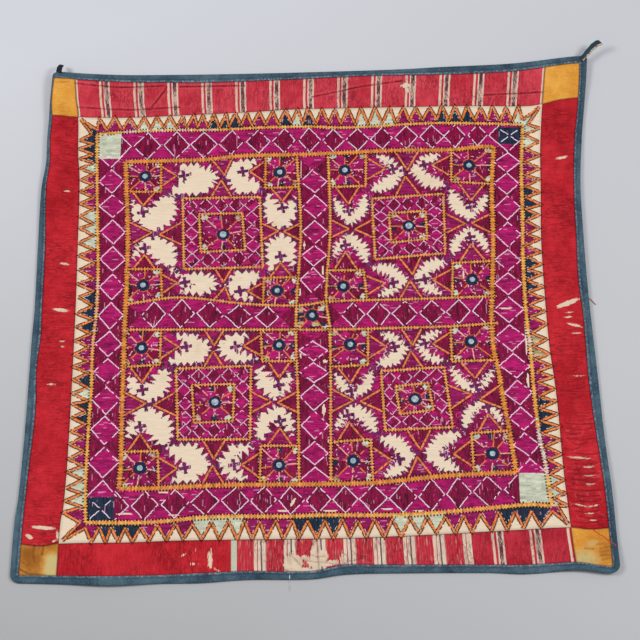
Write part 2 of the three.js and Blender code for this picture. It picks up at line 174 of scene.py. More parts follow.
# Puckers across the lower half of the right strip, where its seam is drawn up: the lowest, the highest and
# their pitch, then the ranges that each one's start, length, sag, lean and depth are drawn from
PUCKER_RUN = (-346, -182, 8.5)
PUCKER_STARTS = (397, 414)
PUCKER_LENGTHS = (22, 46)
PUCKER_LAST_END = 449
PUCKER_SAGS = (1.0, 4.0)
PUCKER_LEANS = (-1.5, 1.5)
PUCKER_DEPTHS = (0.6, 1.1)
PUCKER_HALF_WIDTH = 1.7

# Tears and worn places in the border cloth: (x, y, half length, half height, turn in degrees)
TEARS = [
    (-412, 227, 5, 1.4, 0), (-408, 93, 8, 1.8, -10), (-409, 10, 13, 3.0, -8), (-404, -45, 4, 1.2, 0),
    (-402, -54, 3, 1.2, 0), (-417, -119, 6.5, 1.4, 0), (-414, -356, 18, 3.0, -4), (-435, -370, 6.5, 3.2, -30),
    (-391, -368, 2.4, 7, 10), (-396, -377, 3, 1.6, 30),
    (423, 291, 10, 2.4, 10), (417, 22, 20, 4.0, 20), (419, 6, 6, 1.2, 5), (418, -2, 7, 1.4, 5),
    (426, -17, 13, 2.2, -20), (428, -31, 6.5, 1.3, 0), (430, -105, 13, 0.8, 0), (421, -243, 16, 1.6, -5),
    (434, -258, 8, 1.4, 0), (434, -272, 8, 1.4, 0), (434, -286, 8, 1.3, 0), (418, -320, 14, 1.0, -14),
    (437, -321, 8, 1.0, 8), (431, -333, 6, 1.2, 0), (434, -344, 6, 1.2, 0),
    (-155, -406, 13, 3.2, 90), (-148, -421, 8, 1.2, -35), (-197, -399, 2.5, 1.0, 30),
    (-181, -413, 2.5, 1.0, 0), (-179, -393, 2, 1.0, 60),
    (162, 433, 9, 4.0, 6), (163, 425, 2.6, 7, 0),
    (-28, -412, 15, 13, 10), (-6, -424, 26, 5, 0), (4, -396, 13, 5, 90), (18, -401, 8, 10, 0),
    (29, -412, 13, 4, 8), (8, -412, 14, 8, 0), (-8, -404, 7, 3.4, -20), (47, -406, 3, 10, 0),
]

# The two lines of ladder stitch round the field, as (place along the side, line)
LADDER_ROWS = {
    "outer": {
        "top": [
            (-368, 336), (-312, 341), (-243, 344), (-158, 345), (-90, 349), (-4, 351), (47, 349), (116, 352),
            (150, 355), (218, 358), (304, 357), (359, 355),
        ],
        "left": [
            (330, -367), (269, -364), (156, -357), (73, -352), (11, -351), (-60, -354), (-129, -352),
            (-171, -353), (-279, -353), (-327, -351), (-346, -349),
        ],
        "bottom": [
            (-349, -348), (-265, -348), (-219, -345), (-173, -340), (-111, -338), (-33, -338), (13, -336),
            (121, -336), (183, -333), (230, -329), (292, -323), (339, -319), (372, -321),
        ],
        "right": [
            (346, 359), (259, 353), (174, 351), (92, 348), (-7, 349), (-51, 352), (-111, 354), (-162, 356),
            (-213, 360), (-241, 365), (-279, 369), (-316, 372),
        ],
    },
    "inner": {
        "top": [
            (-316, 283), (-241, 285), (-182, 287), (-123, 294), (-21, 297), (64, 301), (149, 305), (234, 306),
            (285, 312), (307, 312),
        ],
        "left": [
            (282, -316), (231, -312), (147, -306), (55, -304), (-25, -304), (-120, -302), (-179, -301),
            (-246, -299), (-292, -300),
        ],
        "bottom": [
            (-300, -293), (-252, -293), (-174, -289), (-112, -287), (13, -286), (91, -284), (138, -280),
            (201, -273), (263, -269), (318, -267),
        ],
        "right": [
            (311, 308), (240, 302), (137, 300), (46, 295), (2, 292), (-60, 293), (-94, 299), (-146, 305),
            (-196, 312), (-249, 318), (-266, 320),
        ],
    },
}

# The edges of the two bands that cross in the middle
CROSS_ROWS = {
    "left": [(288, -26), (156, -19), (29, -25), (-42, -26), (-146, -22), (-262, -20)],
    "right": [(288, 27), (156, 30), (29, 23), (-25, 29), (-262, 30)],
    "top": [(-297, 21), (-216, 32), (-101, 20), (-20, 18), (29, 25), (160, 29), (291, 34)],
    "bottom": [(-295, -25), (-19, -25), (29, -25), (224, -19), (289, -14)],
}

# Where the diamonds in a row touch: (number of the touch, place along the band)
TOUCH_ROWS = {
    "top": [(0, -305), (2, -207), (4, -115), (6, -26), (8, 56), (10, 139), (12, 224), (14, 300)],
    "bottom": [(0, -282), (2, -189), (4, -96), (6, -11), (8, 73), (10, 165), (12, 251), (13, 298)],
    "left": [(0, 270), (2, 175), (4, 77), (6, -26), (8, -122), (10, -223), (11, -278)],
    "right": [(0, 302), (2, 220), (4, 122), (6, 35), (8, -64), (10, -156), (12, -242)],
    "arm_left": [(0, -279), (1, -235), (2, -189), (3, -143), (4, -94), (5, -52)],
    "arm_right": [(0, 47), (1, 88), (2, 129), (3, 173), (4, 217), (5, 259)],
    "arm_up": [(0, 268), (1, 222), (2, 174), (3, 129), (4, 87), (5, 40)],
    "arm_down": [(0, -43), (1, -81), (2, -119), (3, -165), (4, -214), (5, -256)],
}

# Embroidery threads: the display colour, and whether their stitches run up the cloth
# The lit and the shaded magenta are one magenta floss: level stitches are painted lighter and upright ones
# darker, a painted sheen.
BARE, LIT_MAGENTA, SHADED_MAGENTA, PLUM, ROSE, GREEN, NAVY, TAN = range(8)
THREAD_COLOURS = np.array([
    (238, 222, 190), (172, 20, 98), (130, 6, 60), (112, 36, 90), (152, 22, 90), (210, 213, 188), (32, 46, 68),
    (196, 172, 128),
])
THREAD_UPRIGHT = np.array([False, False, True, True, False, False, True, False])
# Painted highlights: the share of each thread's stitches that is drawn towards pale pink as glints on the
# silk, and that pink.
GLINT_SHARE = np.array([0, 0.02, 0.018, 0.06, 0.04, 0, 0.015, 0.05])
GLINT_PINK = (236, 166, 198)
POINT_THREADS = {"m": ROSE, "g": GREEN, "n": NAVY, "t": TAN}

LADDER_ORANGE = (246, 164, 84)
LADDER_YELLOW = (250, 174, 78)
LADDER_BROWN = (176, 90, 34)
INNER_ORANGE = (234, 150, 60)
ZIGZAG_ORANGE = (232, 124, 48)
SPOKE_ORANGE = (232, 128, 58)
SPOKE_PINK = (246, 176, 150)
POINT_ORANGE = (238, 134, 76)
TICK_BROWN = (30, 14, 14)
EDGE_BLACK = (44, 28, 28)
OUTLINE_WHITE = (255, 224, 238)
OUTLINE_PINK = (244, 202, 226)
RING_NAVY = (26, 43, 66)
PALE_THREAD = (240, 214, 196)

# The pointed border: (number of the outer point, place along the side), and the colours in turn
POINT_ROWS = {
    "top": [(0, -364), (3, -288), (6, -223), (9, -169), (12, -112), (15, -47), (18, 16), (21, 84), (24, 154),
            (27, 223), (30, 288), (33, 353)],
    "left": [(0, 325), (3, 270), (6, 203), (9, 131), (12, 56), (15, -21), (18, -90), (21, -156), (24, -220),
             (27, -291), (29, -334)],
    "right": [(0, 347), (3, 271), (6, 204), (9, 137), (12, 73), (15, 8), (18, -67), (21, -128), (24, -192),
              (27, -258), (29, -300)],
    "bottom": [(0, -339), (3, -276), (6, -196), (9, -115), (12, -44), (15, 34), (18, 111), (21, 193),
               (24, 276), (27, 354)],
}
POINT_COLOURS = {
    "top": "mmmgggmmmnnnmmmngnmmmgggmmmnnnmmmg",
    "left": "nnngmmmgggmmmnnnmmmngnnmmmgggm",
    "right": "ggmmmnnnmmmnnnmmmttmmmnnnmmmggg",
    "bottom": "mnnnmmmgggmmmnnnmmmgggmmmnnnm",
}

# The plain squares where the outer bands meet: (left, right, bottom, top, thread)
BAND_CORNERS = {
    "top_left": (-364, -325, 289, 337, GREEN),
    "top_right": (316, 356, 317, 350, NAVY),
    "bottom_left": (-348, -306, -346, -307, NAVY),
    "bottom_right": (324, 373, -316, -268, GREEN),
}

# Each quarter of the field: the reach of its points, the size of its teeth, the bare room round its small
# crosses, the flecks on each of its leaves and the small diamonds along a side of its middle. Then the
# corners of its two middle squares from the top left round, its corner squares as (inner corner x, y,
# x on the level ladder, y on the upright one), and the widths of the bare leaves round each square's level
# and upright points, by the middle and by the ladder.
QUARTERS = {
    "top_left": {
        "point_reach": 26, "tooth_pitch": 12.0, "tooth_depth": 12.0, "cross_room": 10.5,
        "flecks": 2, "small_diamonds": 5,
        "middle": [(-217, 213), (-88, 216), (-81, 87), (-211, 83)],
        "heart": [(-189, 184), (-117, 186), (-111, 118), (-184, 114)],
        "squares": [(-254, 226, -256, 226), (-79, 233, -79, 235), (-249, 83, -245, 83), (-79, 67, -80, 69)],
        "leaves": [(47, 35), (48, 30), (43, 40), (41, 35), (37, 39), (46, 19), (41, 33), (41, 41)],
    },
    "top_right": {
        "point_reach": 33, "tooth_pitch": 8.5, "tooth_depth": 8.5, "cross_room": 7.5,
        "flecks": 12, "small_diamonds": 5,
        "middle": [(100, 213), (220, 222), (220, 112), (104, 101)],
        "heart": [(128, 186), (189, 190), (191, 138), (131, 131)],
        "squares": [(90, 237, 91, 235), (234, 245, 236, 241), (85, 81, 90, 81), (232, 94, 229, 98)],
        "leaves": [(26, 19), (23, 21), (28, 23), (27, 20), (25, 20), (24, 19), (25, 21), (21, 21)],
    },
    "bottom_left": {
        "point_reach": 29, "tooth_pitch": 12.0, "tooth_depth": 12.0, "cross_room": 10.5,
        "flecks": 2, "small_diamonds": 5,
        "middle": [(-218, -93), (-98, -88), (-97, -212), (-211, -213)],
        "heart": [(-192, -121), (-124, -119), (-125, -182), (-186, -185)],
        "squares": [
            (-244, -86, -245, -90), (-80, -80, -83, -80), (-242, -232, -238, -233), (-80, -223, -81, -223),
        ],
        "leaves": [(41, 31), (36, 28), (34, 31), (30, 24), (44, 37), (48, 27), (26, 27), (30, 28)],
    },
    "bottom_right": {
        "point_reach": 30, "tooth_pitch": 8.5, "tooth_depth": 8.5, "cross_room": 7.5,
        "flecks": 12, "small_diamonds": 4,
        "middle": [(111, -97), (212, -90), (223, -192), (116, -197)],
        "heart": [(134, -123), (186, -117), (193, -163), (140, -170)],
        "squares": [(90, -86, 91, -90), (225, -80, 225, -78), (93, -212, 96, -217), (252, -202, 254, -198)],
        "leaves": [(25, 19), (20, 21), (19, 19), (19, 16), (28, 25), (26, 17), (28, 26), (21, 18)],
    },
}

# The mirrors: five in each quarter, the last in its middle, and one where the bands cross
MIRRORS = {
    "top_left": [(-282, 255), (-55, 263), (-277, 54), (-57, 44), (-148, 146)],
    "top_right": [(55, 267), (265, 276), (51, 52), (263, 64), (161, 162)],
    "bottom_left": [(-275, -57), (-53, -52), (-269, -260), (-51, -255), (-154, -150)],
    "bottom_right": [(62, -51), (257, -46), (65, -248), (284, -236), (164, -145)],
}
MIRROR_TOP = 3.3
MIRROR_RADIUS = 7.0

# Places where the floss is worn through to the ground: (x, y, half length, half width, turn in degrees)
WORN_FLOSS = [
    (346, -40, 30, 2.0, 90), (346, -113, 13, 2.2, 90), (316, 13, 12, 1.4, 0),
    (-290, -334, 14, 1.6, 0), (-231, -299, 9, 1.8, 0), (-232, -312, 4, 1.5, 0), (-213, -336, 9, 1.5, 0),
    (-44, -329, 10, 1.6, 0), (-29, -315, 8, 2.4, 60), (29, -329, 12, 1.5, 0), (117, -326, 10, 1.4, 0),
    (165, -329, 9, 1.4, 0), (-19, 269, 17, 1.5, 90), (-13, 127, 8, 1.6, 90), (18, 81, 9, 2.0, 90),
    (-20, 42, 8, 1.8, 90), (19, -163, 10, 2.8, 90), (26, -213, 5, 1.4, 90), (249, 73, 9, 1.8, 90),
    (-18, -70, 6, 1.2, 90), (21, -80, 4, 3.0, 0), (-288, 24, 6, 1.2, 0),
]

# Sizes of the stitches
CELL = 0.75
PITCH_CELLS = 2
STITCH_REACH = 9.0
STITCH_CROWN = 0.75
LADDER_PITCH = 2.5
ROPE_PITCH = 1.8
NOTCH = 0.4
TICK = (2.8, 1.8)


# Lines, folds and the cloth's height

def through(rows):
    """A smooth line through (along, across) rows, straight beyond its ends."""
    ordered = sorted((row[0], row[1]) for row in rows)
    along, across = (np.array(column, float) for column in zip(*ordered))
    last = len(ordered) - 1
    before = np.maximum(np.arange(last + 1) - 1, 0)
    after = np.minimum(np.arange(last + 1) + 1, last)
    slope = (across[after] - across[before]) / (along[after] - along[before])

    def line(at):
        at = np.asarray(at, float)
        k = np.clip(np.searchsorted(along, at, side="right") - 1, 0, last - 1)
        step = along[k + 1] - along[k]
        t = np.clip((at - along[k]) / step, 0, 1)
        blend = t * t * (3 - 2 * t)
        start = t * (1 - t) ** 2 * step * slope[k]
        end = t * t * (1 - t) * step * slope[k + 1]
        beyond = np.minimum(at - along[0], 0) * slope[0] + np.maximum(at - along[-1], 0) * slope[-1]
        return across[k] + (across[k + 1] - across[k]) * blend + start - end + beyond

    return line


def lines_of(rows_by_name):
    return {name: through(rows) for name, rows in rows_by_name.items()}


edge = lines_of(EDGE_ROWS)
seam = lines_of(SEAM_ROWS)
outer = lines_of(LADDER_ROWS["outer"])
inner = lines_of(LADDER_ROWS["inner"])
cross = lines_of(CROSS_ROWS)
binding_width = {side: through([(row[0], row[2]) for row in rows]) for side, rows in EDGE_ROWS.items()}


def moved(line, by):
    return lambda at: line(at) + by


def between(low, high, fraction):
    return lambda at: low(at) * (1 - fraction) + high(at) * fraction


binding_inside = {
    "left": lambda y: edge["left"](y) + binding_width["left"](y),
    "right": lambda y: edge["right"](y) - binding_width["right"](y),
    "top": lambda x: edge["top"](x) - binding_width["top"](x),
    "bottom": lambda x: edge["bottom"](x) + binding_width["bottom"](x),
}


def patch_points(patch, s, t):
    """The points at fractions s and t of a patch between a left, a right, a bottom and a top line."""
    settling_passes = 14
    x = np.zeros(np.broadcast(s, t).shape)
    y = np.zeros_like(x)
    for _ in range(settling_passes):
        x = patch["left"](y) * (1 - s) + patch["right"](y) * s
        y = patch["bottom"](x) * (1 - t) + patch["top"](x) * t
    return x, y


def place_in(lines, s, t):
    """The place between four lines at shares of the way, from their bottom left corner at 0, 0."""
    return tuple(float(v) for v in patch_points(lines, np.array(float(s)), np.array(float(t))))


def side_reach(lines, side):
    """The places along one of four lines where it meets its two neighbours."""
    axis = 0 if side in LEVEL_SIDES else 1
    return [place_in(lines, s, t)[axis] for s, t in SIDE_ENDS[side]]


def outer_corners():
    """Each outer corner's side and end, and the middle of its rounding."""
    found = []
    for side, end, radius in CORNER_ROUNDS:
        x, y = place_in(edge, (side + 1) / 2, (end + 1) / 2)
        found.append((side, end, x - side * radius, y - end * radius))
    return found


OUTER_CORNERS = outer_corners()


def rounded(x, y):
    """Draws points near an outer corner in onto the corner's arc."""
    for side, end, middle_x, middle_y in OUTER_CORNERS:
        dx = (x - middle_x) * side
        dy = (y - middle_y) * end
        near = (dx > 0) & (dy > 0)
        shrink = np.maximum(dx, dy) / np.maximum(np.hypot(dx, dy), 1e-9)
        x = np.where(near, middle_x + side * dx * shrink, x)
        y = np.where(near, middle_y + end * dy * shrink, y)
    return x, y


def turned(dx, dy, angle):
    """Offsets along a line at an angle and across it."""
    return dx * math.cos(angle) + dy * math.sin(angle), dy * math.cos(angle) - dx * math.sin(angle)


def fold_height(x, y):
    height = np.zeros(np.broadcast(x, y).shape)
    for fold_x, fold_y, turn, reach_along, reach_across, rise in FOLDS:
        along, across = turned(x - fold_x, y - fold_y, math.radians(turn))
        u = along / reach_along
        v = across / reach_across
        height = height + rise * np.maximum(0, 1 - 0.25 * (u * u + v * v)) ** 4
    return height


def smoothstep(value, low, high):
    t = np.clip((value - low) / (high - low), 0, 1)
    return t * t * (3 - 2 * t)


def inside_by(lines, x, y):
    """How far places are inside the nearest of four lines."""
    across = np.minimum(x - lines["left"](y), lines["right"](y) - x)
    up = np.minimum(y - lines["bottom"](x), lines["top"](x) - y)
    return np.minimum(across, up)


def from_seam(x, y):
    """How far a point is from the nearest line of the four seams."""
    across = np.minimum(abs(x - seam["left"](y)), abs(seam["right"](y) - x))
    up = np.minimum(abs(y - seam["bottom"](x)), abs(seam["top"](x) - y))
    return np.minimum(across, up)


def underside(x, y):
    level = smoothstep(inside_by(edge, x, y), RISE_FULL_AT, RISE_STARTS_AT)
    return fold_height(x, y) + EDGE_RISE * (1 - level)


def value_noise(x, y, size_x, size_y, seed):
    """Smooth noise from 0 to 1 with grains of the given sizes."""
    lattice_size = 128
    lattice = np.random.default_rng(seed).random((lattice_size, lattice_size))
    u = np.asarray(x, float) / size_x
    v = np.asarray(y, float) / size_y
    i = np.floor(u).astype(int)
    j = np.floor(v).astype(int)
    fu = smoothstep(u - i, 0, 1)
    fv = smoothstep(v - j, 0, 1)
    low = lattice[j % lattice_size, i % lattice_size] * (1 - fu)
    low = low + lattice[j % lattice_size, (i + 1) % lattice_size] * fu
    high = lattice[(j + 1) % lattice_size, i % lattice_size] * (1 - fu)
    high = high + lattice[(j + 1) % lattice_size, (i + 1) % lattice_size] * fu
    return low * (1 - fv) + high * fv


def off_segment(x, y, start, end):
    """The distance of points from a straight run, and how far along it they lie."""
    dx = end[0] - start[0]
    dy = end[1] - start[1]
    length = math.hypot(dx, dy)
    along = ((x - start[0]) * dx + (y - start[1]) * dy) / length
    held = np.clip(along, 0, length)
    away = np.hypot(x - start[0] - held * dx / length, y - start[1] - held * dy / length)
    return away, along


def off_line(x, y, points):
    """The distance of places from a line of straight runs."""
    return np.minimum.reduce([off_segment(x, y, *ends)[0] for ends in zip(points, points[1:])])


def drawn_puckers():
    """Short puckers side by side, each with a sag, as (half width, depth, points)."""
    random = np.random.default_rng(61)
    found = []
    for y in np.arange(*PUCKER_RUN):
        start = random.uniform(*PUCKER_STARTS)
        end = min(start + random.uniform(*PUCKER_LENGTHS), PUCKER_LAST_END)
        sag = random.uniform(*PUCKER_SAGS)
        lean = random.uniform(*PUCKER_LEANS)
        points = [(start, y), ((start + end) / 2, y - sag), (end, y + lean)]
        found.append((PUCKER_HALF_WIDTH, random.uniform(*PUCKER_DEPTHS), points))
    return found


PUCKERS = SOFT_CREASES + drawn_puckers()
RIDGE_SHARE = 0.7
RIDGE_AT = 2.2


def crease_height(x, y):
    """Each crease is a groove with a lower ridge on both sides."""
    height = np.zeros(np.broadcast(x, y).shape)
    for half_width, depth, points in CREASES + PUCKERS:
        across = off_line(x, y, points) / half_width
        ridge = RIDGE_SHARE * depth * np.exp(-(across - RIDGE_AT) ** 2)
        height = height - depth * np.exp(-across * across) + ridge
    return height


def crease_distance(x, y, creases):
    """How far places are from the nearest of some creases."""
    return np.minimum.reduce([off_line(x, y, points) for _, _, points in creases])


SEAM_DIP = 0.5
SEAM_REACH = 2.2
GATHER_RISE = 0.35
GATHER_PITCH = 11
GATHER_REACH = 9
RELIEF_STARTS_AT = 12
RELIEF_FULL_AT = 24

# Unevenness of the cloth: (rise, grain across, grain up, seed)
STRIP_SWELLS = [(0.7, 46, 38, 1), (0.3, 15, 12, 2)]
FIELD_SWELLS = [(0.5, 52, 44, 5), (0.25, 17, 14, 6)]


def swell(x, y, swells):
    return sum(rise * (value_noise(x, y, *grain, seed) - 0.5) for rise, *grain, seed in swells)


def relief(x, y):
    """Creases, gathers along the seams and the cloth's own unevenness, above the even sheet."""
    to_seam = from_seam(x, y)
    dip = -SEAM_DIP * np.exp(-((to_seam / SEAM_REACH) ** 2))
    wander = value_noise(x, y, 40, 40, 3) * 2
    gathers = np.sin((x + y) * 2 * math.pi / GATHER_PITCH + 6 * wander) * np.exp(-to_seam / GATHER_REACH)
    height = dip + GATHER_RISE * gathers + swell(x, y, STRIP_SWELLS) + crease_height(x, y)
    return height * smoothstep(inside_by(edge, x, y), RELIEF_STARTS_AT, RELIEF_FULL_AT)


def strip_top(x, y):
    return underside(x, y) + STRIP_THICKNESS + relief(x, y)


def field_relief(x, y):
    return swell(x, y, FIELD_SWELLS) - SEAM_DIP * np.exp(-((from_seam(x, y) / SEAM_REACH) ** 2))


def field_top(x, y):
    return underside(x, y) + FIELD_THICKNESS + field_relief(x, y)


# Finishes

def linear(colour):
    """A display colour, 0 to 255 a channel, as the linear values that shaders take."""
    share = np.asarray(colour, float) / 255
    return np.where(share <= 0.04045, share / 12.92, ((share + 0.055) / 1.055) ** 2.4)


def rgba(colour):
    return (*linear(colour), 1.0)


class Wire:
    """An output in a node tree. Sums, differences and products of wires add the nodes that work them out."""

    def __init__(self, tree, socket):
        self.tree = tree
        self.socket = socket

    def __add__(self, other):
        return worked(self.tree, "ADD", self, other)

    def __radd__(self, other):
        return worked(self.tree, "ADD", other, self)

    def __sub__(self, other):
        return worked(self.tree, "SUBTRACT", self, other)

    def __rsub__(self, other):
        return worked(self.tree, "SUBTRACT", other, self)

    def __mul__(self, other):
        return worked(self.tree, "MULTIPLY", self, other)

    def __truediv__(self, other):
        return worked(self.tree, "DIVIDE", self, other)

    def __abs__(self):
        return worked(self.tree, "ABSOLUTE", self)

    def below(self, limit):
        return worked(self.tree, "LESS_THAN", self, limit)

    def above(self, limit):
        return worked(self.tree, "GREATER_THAN", self, limit)


def new_node(tree, kind, inputs=None, **settings):
    """A node with its settings made and its inputs set or linked."""
    node = tree.nodes.new(kind)
    for name, value in settings.items():
        setattr(node, name, value)
    for socket, value in (inputs or {}).items():
        if isinstance(value, Wire):
            tree.links.new(value.socket, node.inputs[socket])
        else:
            node.inputs[socket].default_value = value
    return node


def wire(tree, kind, output=0, inputs=None, **settings):
    """One output of a new node."""
    return Wire(tree, new_node(tree, kind, inputs, **settings).outputs[output])


def worked(tree, operation, a, b=0.0):
    return wire(tree, "ShaderNodeMath", 0, {0: a, 1: b}, operation=operation)


MIX_SHARE, MIX_FIRST, MIX_SECOND, MIX_RESULT = 0, 6, 7, 2


def mixed(tree, share, first, second, blend="MIX"):
    """A mix of two colours, each a wire or a display colour."""
    first, second = (colour if isinstance(colour, Wire) else rgba(colour) for colour in (first, second))
    inputs = {MIX_SHARE: share, MIX_FIRST: first, MIX_SECOND: second}
    return wire(tree, "ShaderNodeMix", MIX_RESULT, inputs, data_type="RGBA", blend_type=blend)


def ranged(value, low, high, to_low=0.0, to_high=1.0, kind="SMOOTHSTEP"):
    """A value taken from one range to another and held at its ends."""
    inputs = {"Value": value, "From Min": low, "From Max": high, "To Min": to_low, "To Max": to_high}
    return wire(value.tree, "ShaderNodeMapRange", "Result", inputs, interpolation_type=kind)


def object_place(tree, scale):
    place = wire(tree, "ShaderNodeTexCoord", "Object")
    return wire(tree, "ShaderNodeMapping", "Vector", {"Vector": place, "Scale": scale})


def noise(tree, grains, detail=3.0, roughness=0.5):
    """Noise over the cloth with a number of grains a metre each way."""
    inputs = {"Vector": object_place(tree, grains), "Scale": 1.0, "Detail": detail, "Roughness": roughness}
    return wire(tree, "ShaderNodeTexNoise", "Fac", inputs)


def blotched(colour, tint, grains, low, high, most=1.0, detail=3.0, roughness=0.5):
    """A colour with blotches of a tint where noise rises from a low to a high value."""
    tree = colour.tree
    share = ranged(noise(tree, grains, detail, roughness), low, high, 0.0, most)
    return mixed(tree, share, colour, tint)


def carried(tree, name, output="Fac"):
    """A value that the points of a piece carry."""
    return wire(tree, "ShaderNodeAttribute", output, attribute_name=name)


def weave_height(tree, thread_pitch):
    """The crossing threads of a plain weave, from 0 to 1."""
    wave_periods = 0.1 * math.pi
    inputs = {
        "Vector": wire(tree, "ShaderNodeTexCoord", "Object"), "Scale": wave_periods / (thread_pitch * MM),
        "Distortion": 0.6, "Detail": 1.0, "Detail Scale": 0.02,
    }
    warp, weft = (wire(tree, "ShaderNodeTexWave", "Fac", inputs, bands_direction=way) for way in "XY")
    return worked(tree, "MAXIMUM", warp, weft)


CLOTH_SHINE = 0.15
CLOTH_SHEEN = 0.05


def new_finish(name, roughness, sheen=0.0, metal=0.0, shine=CLOTH_SHINE):
    """A material with its node tree and its shader, whose even values are set."""
    material = bpy.data.materials.new(name)
    material.use_nodes = True
    shader = material.node_tree.nodes["Principled BSDF"]
    for socket, value in (
        ("Roughness", roughness), ("Specular IOR Level", shine), ("Sheen Weight", sheen), ("Metallic", metal),
    ):
        shader.inputs[socket].default_value = value
    return material, material.node_tree, shader


def dress(shader, colour, height, strength, depth):
    """Gives a shader its colour and a fine relief with a depth in millimetres."""
    tree = colour.tree
    inputs = {"Strength": strength, "Distance": depth * MM, "Height": height}
    tree.links.new(colour.socket, shader.inputs["Base Color"])
    tree.links.new(wire(tree, "ShaderNodeBump", "Normal", inputs).socket, shader.inputs["Normal"])


FRAY_ACROSS = ((260, 700, 200), 3.4)
FRAY_UPRIGHT = ((620, 120, 200), 9.0)
FRAY_SOFTNESS = 0.5
WORN_CREAM = (250, 232, 204)
WORN_SHADE = (218, 186, 158)


def worn_share(tree, frays_across):
    """How far the cloth is worn through, from the distance to the nearest tear in millimetres."""
    grains, raggedness = FRAY_ACROSS if frays_across else FRAY_UPRIGHT
    distance = carried(tree, "wear") + (noise(tree, grains, 4.0) - 0.5) * raggedness
    return ranged(distance, FRAY_SOFTNESS, -FRAY_SOFTNESS)


def cloth_colour(tree, shades, weft):
    """Two shades of one dye, clouded by age and streaked along the weft."""
    clouds = (((9, 7, 9), 0.4), ((60, 50, 60), 0.25), (weft, 0.3), ((650, 650, 200), 0.3))
    tone = sum(noise(tree, grains, 3.0, 0.6) * share for grains, share in clouds)
    return mixed(tree, ranged(tone, 0.5, 0.76), *shades)


def wrinkles(tree, grains, width):
    """Fine wandering lines where smooth noise crosses its middle, strong in places and faint in others."""
    off_middle = abs(noise(tree, grains, 1.0) - 0.5)
    return ranged(off_middle, width, 0.0) * ranged(noise(tree, (16, 14, 16), 2.0), 0.34, 0.58)


def finish_cloth(shader, colour, weft, shadow, ridge, crease_shade_share=0.85, wrinkle_shade_share=0.5):
    """Tears show the worn ground; wrinkles, creases, puckers and seams are dark with painted shade, the
    ridges beside creases and puckers get painted highlights, and the weave and slubs stand out.
    """
    tree = colour.tree
    runs_across = weft[0] < weft[1]
    broad, fine = ((22, 85, 40), (50, 190, 40)) if runs_across else ((85, 22, 40), (190, 50, 40))
    wrinkled = worked(tree, "MAXIMUM", wrinkles(tree, broad, 0.035), wrinkles(tree, fine, 0.05))
    # Painted shade: the wrinkle lines darken the colour as well as making a relief.
    colour = mixed(tree, wrinkled * wrinkle_shade_share, colour, shadow)
    ground = mixed(tree, noise(tree, weft, 2.0), WORN_SHADE, WORN_CREAM)
    ground = blotched(ground, WORN_SHADE, (90, 70, 60), 0.5, 0.66, 0.7)
    colour = mixed(tree, worn_share(tree, runs_across), colour, ground)
    patchy = ranged(noise(tree, (70, 70, 70)), 0.35, 0.6, 0.5 * crease_shade_share, crease_shade_share)
    # Painted shade along each crease, and a painted highlight on the ridges beside it.
    off_crease = carried(tree, "crease")
    colour = mixed(tree, ranged(off_crease, 2.4, 0.5) * patchy, colour, shadow)
    beside = ranged(off_crease, 1.8, 3.2) * ranged(off_crease, 5.6, 3.4)
    colour = mixed(tree, beside * (patchy * 0.3), colour, ridge)
    # Painted shade along each pucker, and a faint painted highlight beside it in places.
    off_pucker = carried(tree, "pucker")
    colour = mixed(tree, ranged(off_pucker, 2.0, 0.3, 0.0, 0.42), colour, shadow)
    beside = ranged(off_pucker, 1.6, 2.8) * ranged(off_pucker, 5.0, 3.0)
    in_places = ranged(noise(tree, (120, 120, 60)), 0.48, 0.68, 0.0, 0.3)
    colour = mixed(tree, beside * in_places, colour, ridge)
    # Painted shade: the cloth is darkened within a few millimetres of the seams and of the binding's inner
    # edge.
    colour = mixed(tree, ranged(carried(tree, "seam"), 2.4, 0.3, 0.0, 0.7), colour, shadow)
    slubs = noise(tree, weft, 2.0)
    dress(shader, colour, weave_height(tree, 0.9) + slubs * 1.5 - wrinkled * 2.0, 0.45, 0.3)


PLAIN_REDS = ((172, 18, 30), (220, 46, 56))
# Painted shade and painted highlight colours for the red cloth's wrinkles, creases, puckers and seams.
RED_SHADOW = (84, 10, 22)
RED_RIDGE_HIGHLIGHT = (234, 110, 116)
WEFT_ACROSS = (34, 1000, 200)
WEFT_UPRIGHT = (1000, 34, 200)


def plain_red_finish(name, weft):
    material, tree, shader = new_finish(name, 0.88, CLOTH_SHEEN)
    finish_cloth(shader, cloth_colour(tree, PLAIN_REDS, weft), weft, RED_SHADOW, RED_RIDGE_HIGHLIGHT)
    return material


def along_weave(tree):
    """The place along a strip from its left end, in metres, from the cloth's own map."""
    place = wire(tree, "ShaderNodeUVMap", "UV", uv_map="Weave")
    return wire(tree, "ShaderNodeSeparateXYZ", "X", {0: place})


STRIPE_WOBBLE = 1.8


def stripe_place(tree, start, repeat):
    """The place across the repeat of a woven stripe, from 0 to 1."""
    wobble = (noise(tree, (60, 60, 60)) - 0.5) * (STRIPE_WOBBLE * MM)
    return worked(tree, "FRACT", (along_weave(tree) + wobble - start * MM) / (repeat * MM))


def stripes(place, bands):
    """Colours of a woven stripe: (place where the colour starts, colour)."""
    ramp = new_node(place.tree, "ShaderNodeValToRGB", {0: place})
    ramp.color_ramp.interpolation = "CONSTANT"
    points = ramp.color_ramp.elements
    while len(points) < len(bands):
        points.new(0.5)
    for point, (start, colour) in zip(points, bands):
        point.position = start
        point.color = rgba(colour)
    return Wire(place.tree, ramp.outputs["Color"])


STRIPE_CREAM = (238, 214, 188)
STRIPE_DARK = (66, 58, 70)
STRIPE_RED = (206, 52, 70)
STRIPE_REPEAT = 58.6
STRIPE_END = 0.315
STRIPE_LINES = [
    (0.0, STRIPE_CREAM), (0.066, STRIPE_RED), (0.122, STRIPE_CREAM), (0.162, STRIPE_DARK),
    (0.262, STRIPE_CREAM), (STRIPE_END, STRIPE_RED),
]
UNDYED_FROM = 0.14
FIRST_LINE = 3.4
FADED_REDS = ((188, 34, 50), (230, 78, 92))
DEEP_REDS = ((166, 24, 42), (210, 56, 70))


